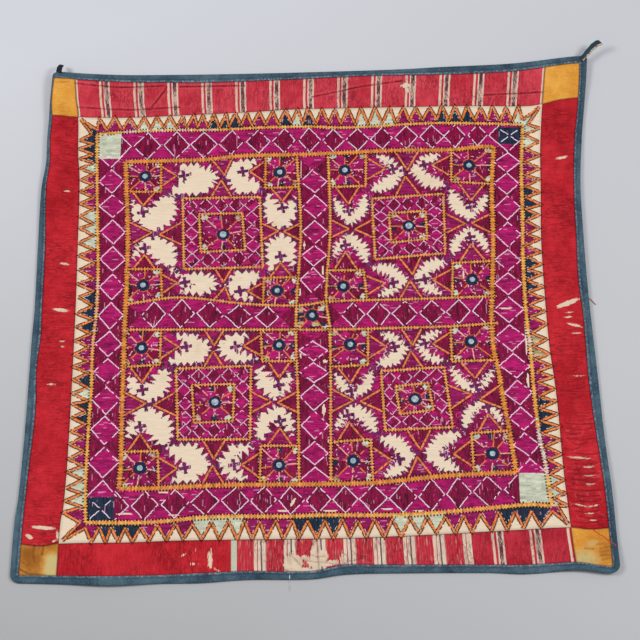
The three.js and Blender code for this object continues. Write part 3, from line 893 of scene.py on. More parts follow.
def striped_red_finish(name, start, shades):
    """Red cloth with groups of cream and dark lines."""
    material, tree, shader = new_finish(name, 0.88, CLOTH_SHEEN)
    place = stripe_place(tree, start, STRIPE_REPEAT)
    lines = stripes(place, STRIPE_LINES)
    dyed = noise(tree, (800, 190, 100), 2.0) + noise(tree, (18, 30, 18), 2.0)
    undyed = ranged(dyed, 0.94, 1.2, 0.0, 0.8) * place.above(UNDYED_FROM)
    lines = mixed(tree, undyed, lines, STRIPE_CREAM, "LIGHTEN")
    red = cloth_colour(tree, shades, WEFT_UPRIGHT)
    colour = mixed(tree, place.below(STRIPE_END), red, mixed(tree, 0.14, lines, red))
    colour = mixed(tree, along_weave(tree).below(FIRST_LINE * MM), colour, STRIPE_CREAM)
    finish_cloth(shader, colour, WEFT_UPRIGHT, RED_SHADOW, RED_RIDGE_HIGHLIGHT)
    return material


WORN_REPEAT = 46.0
WORN_START = 9.0
WORN_PIN = 4.4
WORN_GREEN = (204, 206, 180)
WORN_CLOUD = (166, 66, 72)
PIN_RED = (152, 24, 44)
WORN_RED_END = 0.57
WORN_LINES = [
    (0.0, (212, 50, 66)), (WORN_RED_END, STRIPE_CREAM), (0.67, (188, 96, 98)), (0.7, STRIPE_CREAM),
    (0.79, (108, 88, 98)), (0.84, STRIPE_CREAM), (0.96, (206, 120, 116)),
]


def worn_striped_finish():
    """Old cloth of wide red and cream stripes, rubbed pale."""
    material, tree, shader = new_finish("worn striped cotton", 0.9, CLOTH_SHEEN)
    place = stripe_place(tree, WORN_START, WORN_REPEAT)
    pins = worked(tree, "FRACT", along_weave(tree) / (WORN_PIN * MM)).below(0.4) * 0.4
    lines = mixed(tree, pins * place.below(WORN_RED_END), stripes(place, WORN_LINES), PIN_RED)
    colour = blotched(lines, STRIPE_CREAM, (500, 46, 100), 0.53, 0.74, 0.75, 4.0, 0.65)
    colour = blotched(colour, WORN_CLOUD, (60, 40, 40), 0.35, 0.7, 0.2)
    colour = mixed(tree, along_weave(tree).below(WORN_START * MM), colour, WORN_GREEN)
    finish_cloth(shader, colour, WEFT_UPRIGHT, RED_SHADOW, RED_RIDGE_HIGHLIGHT)
    return material


YELLOWS = ((222, 144, 46), (252, 184, 82))
# Painted shade and painted highlight colours for the yellow cloth's wrinkles, creases, puckers and seams.
YELLOW_SHADOW = (132, 76, 26)
YELLOW_RIDGE_HIGHLIGHT = (238, 172, 78)
WASHED_YELLOW = (214, 192, 128)
STAIN_AND_SHADE_BROWN = (154, 88, 30)


def yellow_finish():
    material, tree, shader = new_finish("yellow cotton", 0.86, CLOTH_SHEEN)
    colour = cloth_colour(tree, YELLOWS, (160, 900, 200))
    pale = ranged(carried(tree, "pale") + noise(tree, (70, 70, 70), 4.0) * 0.4, 0.25, 1.05)
    colour = mixed(tree, pale, colour, WASHED_YELLOW)
    # Brown from the corners' stains and from painted shade along the lower left corner's creases.
    brown = ranged(carried(tree, "brown") + noise(tree, (90, 90, 90), 4.0) * 0.5, 0.35, 1.2)
    colour = mixed(tree, brown, colour, STAIN_AND_SHADE_BROWN)
    finish_cloth(shader, colour, WEFT_ACROSS, YELLOW_SHADOW, YELLOW_RIDGE_HIGHLIGHT, 0.45, 0.1)
    return material


GROUND_CREAMS = ((236, 212, 182), (252, 230, 202))
GROUND_STAIN = (214, 184, 140)


def ground_finish():
    """The cream cotton under the embroidery."""
    material, tree, shader = new_finish("cream ground cotton", 0.9)
    colour = mixed(tree, ranged(noise(tree, (40, 700, 60)), 0.2, 0.8), *GROUND_CREAMS)
    colour = blotched(colour, GROUND_STAIN, (26, 22, 26), 0.56, 0.75, 0.4, 4.0)
    dress(shader, colour, weave_height(tree, 0.8), 0.4, 0.25)
    return material


TAPE_GRAINS = (400, 400, 200)
INDIGOS = ((46, 70, 86), (90, 116, 128))
INDIGO_GRIME = (34, 48, 58)
INDIGO_FLECK = (150, 170, 176)
INDIGO_RUBBED = (176, 188, 194)
INDIGO_FOLD_SHADE = (38, 50, 74)


def binding_finish():
    """Faded indigo tape, grimy in places, rubbed pale in flecks and along its hem, with painted shade along
    its fold.
    """
    material, tree, shader = new_finish("indigo tape", 0.85, CLOTH_SHEEN)
    colour = cloth_colour(tree, INDIGOS, TAPE_GRAINS)
    colour = blotched(colour, INDIGO_GRIME, (34, 34, 34), 0.54, 0.74, 0.6, 4.0)
    colour = blotched(colour, INDIGO_FLECK, (420, 420, 420), 0.6, 0.74, 0.7, 3.0, 0.7)
    rubbed = carried(tree, "hem") * ranged(noise(tree, (330, 330, 330), 4.0), 0.46, 0.66, 0.0, 0.6)
    colour = mixed(tree, rubbed, colour, INDIGO_RUBBED)
    # Painted shade along the line where the tape's face is folded.
    fold_shade = carried(tree, "fold_shade_line") * ranged(noise(tree, (24, 24, 24)), 0.36, 0.56, 0.1, 0.75)
    colour = mixed(tree, fold_shade, colour, INDIGO_FOLD_SHADE)
    dress(shader, colour, weave_height(tree, 0.8) + noise(tree, (300, 300, 300)), 0.5, 0.3)
    return material


# Partly painted shade: the left tab's tape is darker than the right tab's, standing in for the shadow that
# its stub lies in.
DARK_TAPE_IN_SHADE = ((20, 20, 28), (46, 48, 60))
PRINTED_TAPE = ((26, 46, 58), (62, 90, 104))
PRINT_RED = (168, 76, 70)
PRINT_CREAM = (226, 208, 182)
PRINT_BLOT = (104, 112, 96)


def tab_finish(name, shades):
    """Dark tape, with a printed edge where the piece carries one."""
    material, tree, shader = new_finish(name, 0.85, CLOTH_SHEEN)
    colour = cloth_colour(tree, shades, TAPE_GRAINS)
    printed = mixed(tree, ranged(noise(tree, (300, 300, 300), 2.0), 0.45, 0.55), PRINT_RED, PRINT_CREAM)
    printed = blotched(printed, PRINT_BLOT, (180, 180, 180), 0.52, 0.6, 0.8, 2.0)
    colour = mixed(tree, carried(tree, "print"), colour, printed)
    dress(shader, colour, weave_height(tree, 0.8), 0.5, 0.3)
    return material


def floss_finish():
    """Embroidery floss in the colour that each stitch carries, with fine fibres and a soft shine."""
    material, tree, shader = new_finish("embroidery floss", 0.62)
    fibres = ranged(noise(tree, (900, 900, 500), 2.0), 0.3, 0.7, 0.8, 1.16)
    grey = wire(tree, "ShaderNodeCombineColor", 0, {0: fibres, 1: fibres, 2: fibres})
    colour = mixed(tree, 1.0, carried(tree, "tint", "Color"), grey, "MULTIPLY")
    dress(shader, colour, noise(tree, (1500, 1500, 800), 2.0), 0.35, 0.2)
    return material


# Partly painted reflection: the glass is only partly metallic, so its pale greys also give the brightness
# that a mirror shows by reflecting the room.
GLASS_GREYS = ((158, 176, 190), (230, 238, 246))


def mirror_finish():
    """Old silvered glass, a little clouded and uneven, its pale greys partly a painted reflection."""
    material, tree, shader = new_finish("mirror glass", 0.16, metal=0.35, shine=0.5)
    clouded = ranged(noise(tree, (240, 240, 240)), 0.35, 0.7)
    dress(shader, mixed(tree, clouded, *GLASS_GREYS), noise(tree, (160, 160, 160), 1.0), 0.25, 0.8)
    return material


# The floor's greys are partly its own uneven tone and partly painted light, standing in for the lamps'
# fall-off towards the front and the right.
FLOOR_GREYS = ((182, 181, 180), (221, 222, 226))


def floor_finish():
    """A pale floor that is lighter towards the back and the left, partly in its own tone and partly as
    painted light.
    """
    material, tree, shader = new_finish("pale floor", 0.75)
    place = new_node(tree, "ShaderNodeSeparateXYZ", {0: object_place(tree, (1, 1, 1))})
    x, y = (Wire(tree, place.outputs[axis]) for axis in "XY")
    tone = y * (1.0 - x) + noise(tree, (3, 3, 3), 4.0) * 0.15
    colour = mixed(tree, ranged(tone, -0.7, 0.8, kind="LINEAR"), *FLOOR_GREYS)
    dress(shader, colour, noise(tree, (220, 220, 220)), 0.08, 0.5)
    return material


# Meshes

def mesh_object(name, points, faces, material):
    """A smooth mesh from points in millimetres, riding on the part."""
    mesh = bpy.data.meshes.new(name)
    mesh.from_pydata((np.asarray(points) * MM).tolist(), [], faces)
    mesh.polygons.foreach_set("use_smooth", np.ones(len(mesh.polygons), bool))
    mesh.materials.append(material)
    mesh.update()
    piece = bpy.data.objects.new(name, mesh)
    bpy.context.scene.collection.objects.link(piece)
    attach(piece, "root")
    return piece


def set_attribute(piece, name, values):
    layer = piece.data.attributes.new(name, "FLOAT", "POINT")
    layer.data.foreach_set("value", np.asarray(values, np.float32).ravel())


def set_map(piece, name, u, v):
    """A map from values at the points."""
    layer = piece.data.uv_layers.new(name=name)
    corner = np.zeros(len(piece.data.loops), int)
    piece.data.loops.foreach_get("vertex_index", corner)
    places = np.stack([np.ravel(u)[corner], np.ravel(v)[corner]], axis=1)
    layer.data.foreach_set("uv", places.astype(np.float32).ravel())


def wear_distance(x, y):
    """How far points are outside the nearest tear, in millimetres."""
    nearest = np.full(np.broadcast(x, y).shape, 1e3)
    for tear_x, tear_y, half_length, half_height, turn in TEARS:
        along, across = turned(x - tear_x, y - tear_y, math.radians(turn))
        reach = np.hypot(along / half_length, across / half_height)
        nearest = np.minimum(nearest, (reach - 1) * min(half_length, half_height))
    return nearest


BACK_STEP = 4


def grid_lines(length, cell):
    return BACK_STEP * max(1, round(length / cell / BACK_STEP)) + 1


def cloth_sheet(name, column, row, cell, top_height, material):
    """A closed sheet over a patch: a fine face that carries the relief and a coarse even back."""
    patch = {**COLUMNS[column], **ROWS[row]}
    middle_x, middle_y = place_in(patch, 0.5, 0.5)
    width = float(patch["right"](middle_y) - patch["left"](middle_y))
    length = float(patch["top"](middle_x) - patch["bottom"](middle_x))
    columns = grid_lines(width, cell)
    rows = grid_lines(length, cell)
    s, t = np.meshgrid(np.linspace(0, 1, columns), np.linspace(0, 1, rows))
    x, y = rounded(*patch_points(patch, s, t))
    face = np.stack([x, y, top_height(x, y)], axis=-1)
    back_x = x[::BACK_STEP, ::BACK_STEP]
    back_y = y[::BACK_STEP, ::BACK_STEP]
    back = np.stack([back_x, back_y, underside(back_x, back_y)], axis=-1)
    over = np.arange(rows * columns).reshape(rows, columns)
    back_rows, back_columns = back_x.shape
    under = rows * columns + np.arange(back_rows * back_columns).reshape(back_rows, back_columns)
    quads = np.stack([over[:-1, :-1], over[:-1, 1:], over[1:, 1:], over[1:, :-1]], axis=-1)
    faces = quads.reshape(-1, 4).tolist()
    quads = np.stack([under[:-1, :-1], under[1:, :-1], under[1:, 1:], under[:-1, 1:]], axis=-1)
    faces += quads.reshape(-1, 4).tolist()
    rims = [
        (over[0], under[0]),
        (over[:, -1], under[:, -1]),
        (over[-1, ::-1], under[-1, ::-1]),
        (over[::-1, 0], under[::-1, 0]),
    ]
    for fine, coarse in rims:
        for k in range(len(coarse) - 1):
            run = fine[k * BACK_STEP:(k + 1) * BACK_STEP + 1]
            faces.append([int(coarse[k]), int(coarse[k + 1]), *run[::-1].tolist()])
    points = np.concatenate([face.reshape(-1, 3), back.reshape(-1, 3)])
    piece = mesh_object(name + "_cloth", points, faces, material)
    u = np.concatenate([s.ravel(), s[::BACK_STEP, ::BACK_STEP].ravel()]) * width * MM
    v = np.concatenate([t.ravel(), t[::BACK_STEP, ::BACK_STEP].ravel()]) * length * MM
    set_map(piece, "Weave", u, v)
    x, y = points[:, 0], points[:, 1]
    set_attribute(piece, "wear", wear_distance(x, y))
    # The distances to creases and puckers steer painted shade and painted highlights in the finish.
    set_attribute(piece, "crease", crease_distance(x, y, CREASES))
    set_attribute(piece, "pucker", crease_distance(x, y, PUCKERS))
    # The seam distance, which also counts the binding's inner edge, steers painted shade in the finish.
    to_binding = np.maximum(inside_by(binding_inside, x, y), 0)
    set_attribute(piece, "seam", np.minimum(from_seam(x, y), to_binding))
    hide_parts(name)
    return piece, (width * MM, length * MM), points


def cut_line(fraction):
    return between(seam["left"], seam["right"], fraction)


COLUMNS = {
    "left": {"left": moved(edge["left"], EDGE_INSET), "right": seam["left"]},
    "middle": {"left": seam["left"], "right": seam["right"]},
    "right": {"left": seam["right"], "right": moved(edge["right"], -EDGE_INSET)},
    "plain": {"left": seam["left"], "right": cut_line(PLAIN_TO_WORN_CUT)},
    "worn": {"left": cut_line(PLAIN_TO_WORN_CUT), "right": cut_line(WORN_TO_STRIPED_CUT)},
    "striped": {"left": cut_line(WORN_TO_STRIPED_CUT), "right": seam["right"]},
}
ROWS = {
    "bottom": {"bottom": moved(edge["bottom"], EDGE_INSET), "top": seam["bottom"]},
    "middle": {"bottom": seam["bottom"], "top": seam["top"]},
    "top": {"bottom": seam["top"], "top": moved(edge["top"], -EDGE_INSET)},
}
STRIP_CELL = 1.9
FIELD_CELL = 6.5
TOP_STRIPES_START = 40
SHORT_STRIPES_START = 35


def make_border_cloth():
    """The red strips and the yellow corner squares round the field."""
    plain_across = plain_red_finish("plain red cotton", WEFT_ACROSS)
    plain_upright = plain_red_finish("plain red cotton, turned", WEFT_UPRIGHT)
    striped = striped_red_finish("striped red cotton", TOP_STRIPES_START, FADED_REDS)
    striped_short = striped_red_finish("striped red cotton, short", SHORT_STRIPES_START, DEEP_REDS)
    strips = [
        ("strip_left", "left", "middle", plain_across, "plain_red"),
        ("strip_right", "right", "middle", plain_across, "plain_red"),
        ("strip_top", "middle", "top", striped, "striped_red"),
        ("strip_bottom_plain", "plain", "bottom", plain_upright, "plain_red"),
        ("strip_bottom_worn", "worn", "bottom", worn_striped_finish(), "striped_red"),
        ("strip_bottom_striped", "striped", "bottom", striped_short, "striped_red"),
    ]
    for name, column, row, material, slot in strips:
        piece, flat, _ = cloth_sheet(name, column, row, STRIP_CELL, strip_top, material)
    yellow = yellow_finish()
    for column in UPRIGHT_SIDES:
        for row in LEVEL_SIDES:
            name = f"corner_{row}_{column}"
            piece, flat, points = cloth_sheet(name, column, row, STRIP_CELL, strip_top, yellow)
            paint_corner_washes_and_shade(piece, name, points)


def spot(x, y, middle, reach):
    """A soft spot: 1 in its middle, fading out over its reach each way."""
    return np.exp(-(((x - middle[0]) / reach[0]) ** 2) - ((y - middle[1]) / reach[1]) ** 2)


# Brown lines of painted shade along creases in the lower left corner square: (half width, points along the
# line)
CREASE_SHADE_LINES = [
    (5, [(-426, -384), (-427, -396), (-424, -410)]),
    (3, [(-412, -384), (-413, -398)]),
    (3, [(-447, -421), (-431, -429), (-405, -431)]),
]


def paint_corner_washes_and_shade(piece, name, points):
    """The two lower corner squares are stained with pale washes and brown, and the lower left one gets
    painted shade in brown along its creases.
    """
    x, y = points[:, 0], points[:, 1]
    pale = np.zeros(len(points))
    brown = np.zeros(len(points))
    if name == "corner_bottom_left":
        pale = 0.9 * smoothstep(x, -418, -399) * smoothstep(-y, 386, 408)
        brown = 0.6 + 0.3 * spot(x, y, (-430, -402), (14, 16))
        for half_width, line in CREASE_SHADE_LINES:
            brown = np.maximum(brown, 0.85 * np.exp(-((off_line(x, y, line) / half_width) ** 2)))
        brown = brown * (1 - pale)
    if name == "corner_bottom_right":
        pale = 0.9 * spot(x, y, (418, -407), (22, 17))
        pale = np.maximum(pale, 0.6 * spot(x, y, (431, -381), (12, 7)))
        brown = 0.25 + 0.3 * spot(x, y, (452, -398), (16, 22))
    set_attribute(piece, "pale", pale)
    set_attribute(piece, "brown", brown)


def make_field(with_pieces):
    piece, flat, _ = cloth_sheet("field", "middle", "middle", FIELD_CELL, field_top, ground_finish())


# Bound edge and tabs

BINDING_STATION = 3.0
BINDING_CROWN = 0.5
BEND_POINTS = 7
FACE_SHARES = (0.95, 0.86, 0.76, 0.68, 0.6, 0.45)
HEM_ROUND = 0.15
SLOT_END = BINDING_WALL + 1
MITRE_REACH = 30
HEM_DIP = 0.35
HEM_DIP_PITCH = 7.0

# Lines along the tape: (share of the width from the edge, half width as a share)
HEM_LINE = (0.9, 0.12)
# The fold line carries painted shade in the finish.
FOLD_SHADE_LINE = (0.68, 0.07)


def tube_faces(rings, size, flipped=False):
    """The faces of a tube through rings of points, with a cap at each end."""
    index = np.arange(rings * size).reshape(rings, size)
    ahead = np.roll(index, -1, axis=1)
    faces = np.stack([index[:-1], ahead[:-1], ahead[1:], index[1:]], axis=-1).reshape(-1, 4).tolist()
    faces += [index[0, ::-1].tolist(), index[-1].tolist()]
    return [face[::-1] for face in faces] if flipped else faces


def binding_section(width):
    """The folded section as (from the edge, height), from the hem on the face round to the underside."""
    slot_floor = BINDING_LAYER
    slot_roof = BINDING_HEIGHT - BINDING_LAYER
    half = BINDING_HEIGHT / 2
    angles = np.linspace(0, math.pi, BEND_POINTS)[::-1]
    section = [(width, slot_roof), (width, BINDING_HEIGHT - HEM_ROUND)]
    section += [(width * share, BINDING_HEIGHT) for share in FACE_SHARES]
    section += [(half - half * math.sin(angle), half - half * math.cos(angle)) for angle in angles]
    section += [(width * 0.6, 0.0), (width, 0.0), (width, slot_floor), (SLOT_END, slot_floor)]
    section += [(SLOT_END, slot_roof)]
    return section


def along_tape(part, line):
    """How near places across the tape are to a line along it, from 0 to 1."""
    return np.exp(-(((part - line[0]) / line[1]) ** 2))


def binding_side(name, material):
    """One side of the bound edge, mitred at both corners."""
    low, high = side_reach(edge, name)
    inner_low, inner_high = side_reach(binding_inside, name)
    stations = round((high - low) / BINDING_STATION)
    share = np.linspace(0, 1, stations + 1)
    at_outer = low + MITRE_GAP + share * (high - low - 2 * MITRE_GAP)
    near_low = np.maximum(0, 1 - (at_outer - low) / MITRE_REACH) ** 2
    near_high = np.maximum(0, 1 - (high - at_outer) / MITRE_REACH) ** 2
    at_inner = at_outer + near_low * (inner_low - low) + near_high * (inner_high - high)
    outer_line = edge[name](at_outer)
    inner_line = binding_inside[name](at_inner)
    width = np.hypot(outer_line - inner_line, at_outer - at_inner)
    rings, hem, fold_shade_line = [], [], []
    for k in range(stations + 1):
        section = np.array(binding_section(width[k]))
        part = section[:, 0] / width[k]
        along = at_outer[k] + (at_inner[k] - at_outer[k]) * part
        across = outer_line[k] + (inner_line[k] - outer_line[k]) * part
        x, y = rounded(along, across) if name in LEVEL_SIDES else rounded(across, along)
        on_face = section[:, 1] > BINDING_HEIGHT - 2 * HEM_ROUND
        hem_dip = HEM_DIP * (1 + math.cos(at_outer[k] * 2 * math.pi / HEM_DIP_PITCH)) * part ** 4
        crown = BINDING_CROWN * np.sin(math.pi * np.clip(part, 0, 1)) * (0.4 + value_noise(x, y, 22, 22, 8))
        z = fold_height(x, y) + section[:, 1] + on_face * (crown - hem_dip)
        rings.append(np.stack([x, y, z], axis=1))
        hem.append(on_face * along_tape(part, HEM_LINE))
        fold_shade_line.append(on_face * along_tape(part, FOLD_SHADE_LINE))
    faces = tube_faces(len(rings), len(section), flipped=name in ("right", "bottom"))
    piece = mesh_object(f"binding_{name}_tape", np.concatenate(rings), faces, material)
    set_attribute(piece, "hem", np.concatenate(hem))
    set_attribute(piece, "fold_shade_line", np.concatenate(fold_shade_line))
    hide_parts(f"binding_{name}")


# The routes of the two hanging tabs, from the binding's face out over its edge
TAB_ROUTES = {
    "right": [(466, 477, 14.9), (477, 490, 17.5), (489, 501, 23), (499, 505, 26)],
    "left": [(-437, 449, 18.6), (-436, 457, 19.3), (-434, 464, 16), (-433, 467, 9)],
}
TAB_WIDTH = {"right": 11, "left": 10}
TAB_THICKNESS = 3
TAB_STATIONS = 28
TAB_SECTION_POINTS = 18
GROOVE_HALF_HEIGHT = 0.8
PRINT_FROM = 0.3


def smooth_route(route, count):
    """Points and directions along a smooth curve through a route."""
    at = np.linspace(0, len(route) - 1, count)
    knots = range(len(route))
    lines = [through(list(zip(knots, column))) for column in zip(*route)]
    points = np.stack([line(at) for line in lines], axis=1)
    tangents = np.gradient(points, axis=0)
    return points, tangents / np.linalg.norm(tangents, axis=1, keepdims=True)


def squared(wave, power):
    """A wave that is drawn out towards the corners of its box."""
    return np.sign(wave) * np.abs(wave) ** power


def make_tab(side, material):
    """A tab of doubled tape with a soft edge, grooved along its sides between its two layers."""
    points, tangents = smooth_route(TAB_ROUTES[side], TAB_STATIONS)
    sideways = np.cross(points[-1] - points[0], (0, 0, 1))
    sideways = sideways / np.linalg.norm(sideways)
    angles = np.linspace(0, 2 * math.pi, TAB_SECTION_POINTS, endpoint=False)
    across = squared(np.cos(angles), 0.5) * TAB_WIDTH[side] / 2
    up = squared(np.sin(angles), 0.6) * TAB_THICKNESS / 2
    groove = 0.75 + 0.25 * np.minimum(1, np.abs(up) / GROOVE_HALF_HEIGHT)
    rings = []
    for k, (point, tangent) in enumerate(zip(points, tangents)):
        facing = np.cross(tangent, sideways)
        facing = facing / np.linalg.norm(facing)
        fullness = 0.94 + 0.06 * math.sin(k * 0.9)
        share = k / (TAB_STATIONS - 1)
        spread = 1.05 - 0.6 * share ** 2 if side == "left" else 0.85 + 0.35 * share
        wide = np.outer(across * groove * fullness * spread, sideways)
        rings.append(point + wide + np.outer(up * fullness, facing))
    faces = tube_faces(len(rings), len(angles))
    piece = mesh_object(f"tab_{side}_tape", np.concatenate(rings), faces, material)
    set_attribute(piece, "print", np.tile(np.cos(angles) > PRINT_FROM, len(rings)) * (side == "right"))
    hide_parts(f"tab_{side}")


# The chart of the embroidery: which thread covers each small cell of the field

class Chart:
    """A grid of small cells over the field, each with the thread that covers it."""

    def __init__(self, left, right, bottom, top):
        self.x = np.arange(left, right, CELL)
        self.y = np.arange(bottom, top, CELL)
        self.thread = np.zeros((len(self.y), len(self.x)), np.uint8)

    def window(self, left, right, bottom, top):
        """The cells in a box: their threads, and their places."""
        columns = slice(*np.searchsorted(self.x, (left, right)))
        rows = slice(*np.searchsorted(self.y, (bottom, top)))
        x, y = np.meshgrid(self.x[columns], self.y[rows])
        return self.thread[rows, columns], x, y

    def window_about(self, x, y, reach):
        return self.window(x - reach, x + reach, y - reach, y + reach)

    def window_round(self, corners, margin=0.0):
        left, bottom = np.min(corners, axis=0) - margin
        right, top = np.max(corners, axis=0) + margin
        return self.window(left, right, bottom, top)

    def polygon(self, corners, thread):
        """Covers a shape with no hollow sides."""
        places = np.array(corners, float)
        cells, x, y = self.window_round(places)
        turns = []
        for start, end in zip(places, np.roll(places, -1, axis=0)):
            turns.append((end[0] - start[0]) * (y - start[1]) - (end[1] - start[1]) * (x - start[0]))
        turns = np.array(turns)
        cells[(turns >= 0).all(0) | (turns <= 0).all(0)] = thread

    def small_cross(self, middle, turn):
        """A small plum cross on the bare ground."""
        reach, half_width = SMALL_CROSS
        cells, x, y = self.window_about(*middle, reach)
        along, across = np.abs(turned(x - middle[0], y - middle[1], turn))
        arms = (np.maximum(along, across) < reach) & (np.minimum(along, across) < half_width)
        cells[arms & (cells == BARE)] = PLUM

    def disc(self, x, y, radius, thread):
        cells, at_x, at_y = self.window_about(x, y, radius)
        cells[np.hypot(at_x - x, at_y - y) < radius] = thread


def in_diamond(index, height):
    """Whether points lie in the diamonds of a band, from the touch count along it and the share across it."""
    return 2 * abs(index - np.floor(index) - 0.5) + 2 * abs(height - 0.5) < 1


def shares_beyond(x, y, low, high):
    """How far points lie from a low line to a high line on each side, as shares of the way."""
    return {
        "top": (y - low["top"](x)) / (high["top"](x) - low["top"](x)),
        "bottom": (low["bottom"](x) - y) / (low["bottom"](x) - high["bottom"](x)),
        "left": (low["left"](y) - x) / (low["left"](y) - high["left"](y)),
        "right": (x - low["right"](y)) / (high["right"](y) - low["right"](y)),
    }


ZIGZAG_FOOT = {"top": 0.14, "left": 0.17, "bottom": 0.21, "right": 0.17}
ZIGZAG_POINT = {"top": 0.96, "left": 0.94, "bottom": 0.98, "right": 0.95}
CORNER_THREADS = {(0, 1): NAVY, (1, 1): GREEN, (0, 0): SHADED_MAGENTA, (1, 0): ROSE}
CORNER_REACH = 0.86
CORNER_FOOT = 8.5
point_at = {side: through(rows) for side, rows in POINT_ROWS.items()}
point_count = {side: through([(place, count) for count, place in rows]) for side, rows in POINT_ROWS.items()}
touch_at = {band: through(rows) for band, rows in TOUCH_ROWS.items()}
touch_count = {band: through([(place, count) for count, place in rows]) for band, rows in TOUCH_ROWS.items()}


def corner_points():
    """The long point at each corner of the border: its thread, and its foot, tip, other foot and base."""
    found = []
    for (s, t), thread in CORNER_THREADS.items():
        x, y = place_in(outer, s, t)
        tip = lerp((x, y), place_in(seam, s, t), CORNER_REACH)
        level_foot = (x, y + CORNER_FOOT * (2 * t - 1))
        upright_foot = (x + CORNER_FOOT * (2 * s - 1), y)
        found.append((thread, [upright_foot, tip, level_foot, (x, y)]))
    return found


def furthest_share(shares):
    return np.maximum.reduce(np.broadcast_arrays(*shares.values()))


def chart_border(chart):
    """The pointed border: coloured points stand on the outer ladder, with bare ones between them."""
    x, y = chart.x[None, :], chart.y[:, None]
    beyond = shares_beyond(x, y, outer, seam)
    furthest = furthest_share(beyond)
    for side, height in beyond.items():
        along = x if side in LEVEL_SIDES else y
        low, high = side_reach(outer, side)
        count = point_count[side](along)
        nearest = np.round(count)
        rise = ZIGZAG_POINT[side] - ZIGZAG_FOOT[side]
        zigzag = ZIGZAG_FOOT[side] + rise * (1 - 2 * abs(count - nearest))
        colours = np.array([POINT_THREADS[letter] for letter in POINT_COLOURS[side]])
        thread = colours[np.clip(nearest.astype(int), 0, len(colours) - 1)]
        covered = (height >= furthest) & (height > 0) & (height < zigzag) & (along > low) & (along < high)
        chart.thread[covered] = np.broadcast_to(thread, covered.shape)[covered]
    for thread, corners in corner_points():
        chart.polygon(corners[:3], thread)
        chart.polygon([corners[0], corners[2], corners[3]], thread)


def fill_diamonds(cells, covered, diamonds, level):
    """Lit diamonds on a shaded ground, and the other way round in a level band: one magenta floss, painted
    lit where laid level and in shade where upright.
    """
    ground, figure = (LIT_MAGENTA, SHADED_MAGENTA) if level else (SHADED_MAGENTA, LIT_MAGENTA)
    cells[covered] = np.where(diamonds, figure, ground)[covered]


def chart_bands(chart):
    """The four outer bands of diamonds and the squares where they meet."""
    x, y = chart.x[None, :], chart.y[:, None]
    rest = furthest_share(shares_beyond(x, y, outer, seam)) <= 0
    height = shares_beyond(x, y, inner, outer)
    for side in (*LEVEL_SIDES, *UPRIGHT_SIDES):
        level = side in LEVEL_SIDES
        covered = rest & (height[side] > 0)
        if level:
            covered &= (x > BAND_CORNERS[f"{side}_left"][1]) & (x < BAND_CORNERS[f"{side}_right"][0])
            rest = rest & ~covered
        diamonds = in_diamond(touch_count[side](x if level else y), height[side])
        fill_diamonds(chart.thread, covered, diamonds, level)
    for left, right, bottom, top, thread in BAND_CORNERS.values():
        cells, at_x, at_y = chart.window(left, right, bottom, top)
        cells[inside_by(outer, at_x, at_y) > 0] = thread


# Dark and pale patches in the square where the bands cross: (x, y, half width, half height, thread)
CROSSING_PATCHES = [
    (-18, -1.5, 6, 5.5, NAVY), (17, -15, 6, 3.4, NAVY), (1, 14, 4.4, 2.6, NAVY), (20, 5, 2.6, 2.6, NAVY),
    (-19, 10, 4, 4.4, TAN), (15, 12, 5, 4, GREEN), (6, -15, 5.5, 3.4, TAN), (-18, -13, 5, 3, TAN),
]


def chart_cross(chart):
    """The two bands of diamonds that cross in the middle."""
    x, y = chart.x[None, :], chart.y[:, None]
    within = inside_by(inner, x, y) > 0
    across = (x - cross["left"](y)) / (cross["right"](y) - cross["left"](y))
    up = (y - cross["bottom"](x)) / (cross["top"](x) - cross["bottom"](x))
    level = within & (up > 0) & (up < 1)
    upright = within & (across > 0) & (across < 1) & ~level
    for name, part, height, along in (
        ("arm_left", level & (x < 0), up, x), ("arm_right", level & (x > 0), up, x),
        ("arm_up", upright & (y > 0), across, y), ("arm_down", upright & (y < 0), across, y),
    ):
        diamonds = in_diamond(touch_count[name](along), height)
        fill_diamonds(chart.thread, part, diamonds, along is x)
    chart_mirror_square(chart, cross_square(), (0, 0))
    for x, y, half_width, half_height, thread in CROSSING_PATCHES:
        left, right, bottom, top = x - half_width, x + half_width, y - half_height, y + half_height
        chart.polygon([(left, bottom), (right, bottom), (right, top), (left, top)], thread)


def cross_square():
    """The corners of the square where the bands cross, from the top left round."""
    return [place_in(cross, s, t) for s, t in ((0, 1), (1, 1), (1, 0), (0, 0))]


def polar(middle, reach, angle):
    return middle[0] + reach * np.cos(angle), middle[1] + reach * np.sin(angle)


def ray_to_side(corners, middle, angle):
    """How far a ray from the middle of a shape runs before it meets a side."""
    direction = np.array([math.cos(angle), math.sin(angle)])
    reach = []
    for start, end in zip(corners, corners[1:] + corners[:1]):
        side = np.subtract(end, start)
        cross_product = direction[0] * side[1] - direction[1] * side[0]
        if abs(cross_product) < 1e-9:
            continue
        offset = np.subtract(start, middle)
        distance = (offset[0] * side[1] - offset[1] * side[0]) / cross_product
        share = (offset[0] * direction[1] - offset[1] * direction[0]) / cross_product
        if distance > 0 and -0.01 <= share <= 1.01:
            reach.append(distance)
    return min(reach)


SPOKES = 8
SPOKE_START = 11.8
PETAL_SHARES = (0.7, 0.96, 0.7)
PETAL_THREADS = [LIT_MAGENTA, SHADED_MAGENTA, LIT_MAGENTA, ROSE, SHADED_MAGENTA, LIT_MAGENTA, ROSE, SHADED_MAGENTA]
PALE_RADII = (4.4, 3.6)
DARK_RADII = (4.4, 3.8)


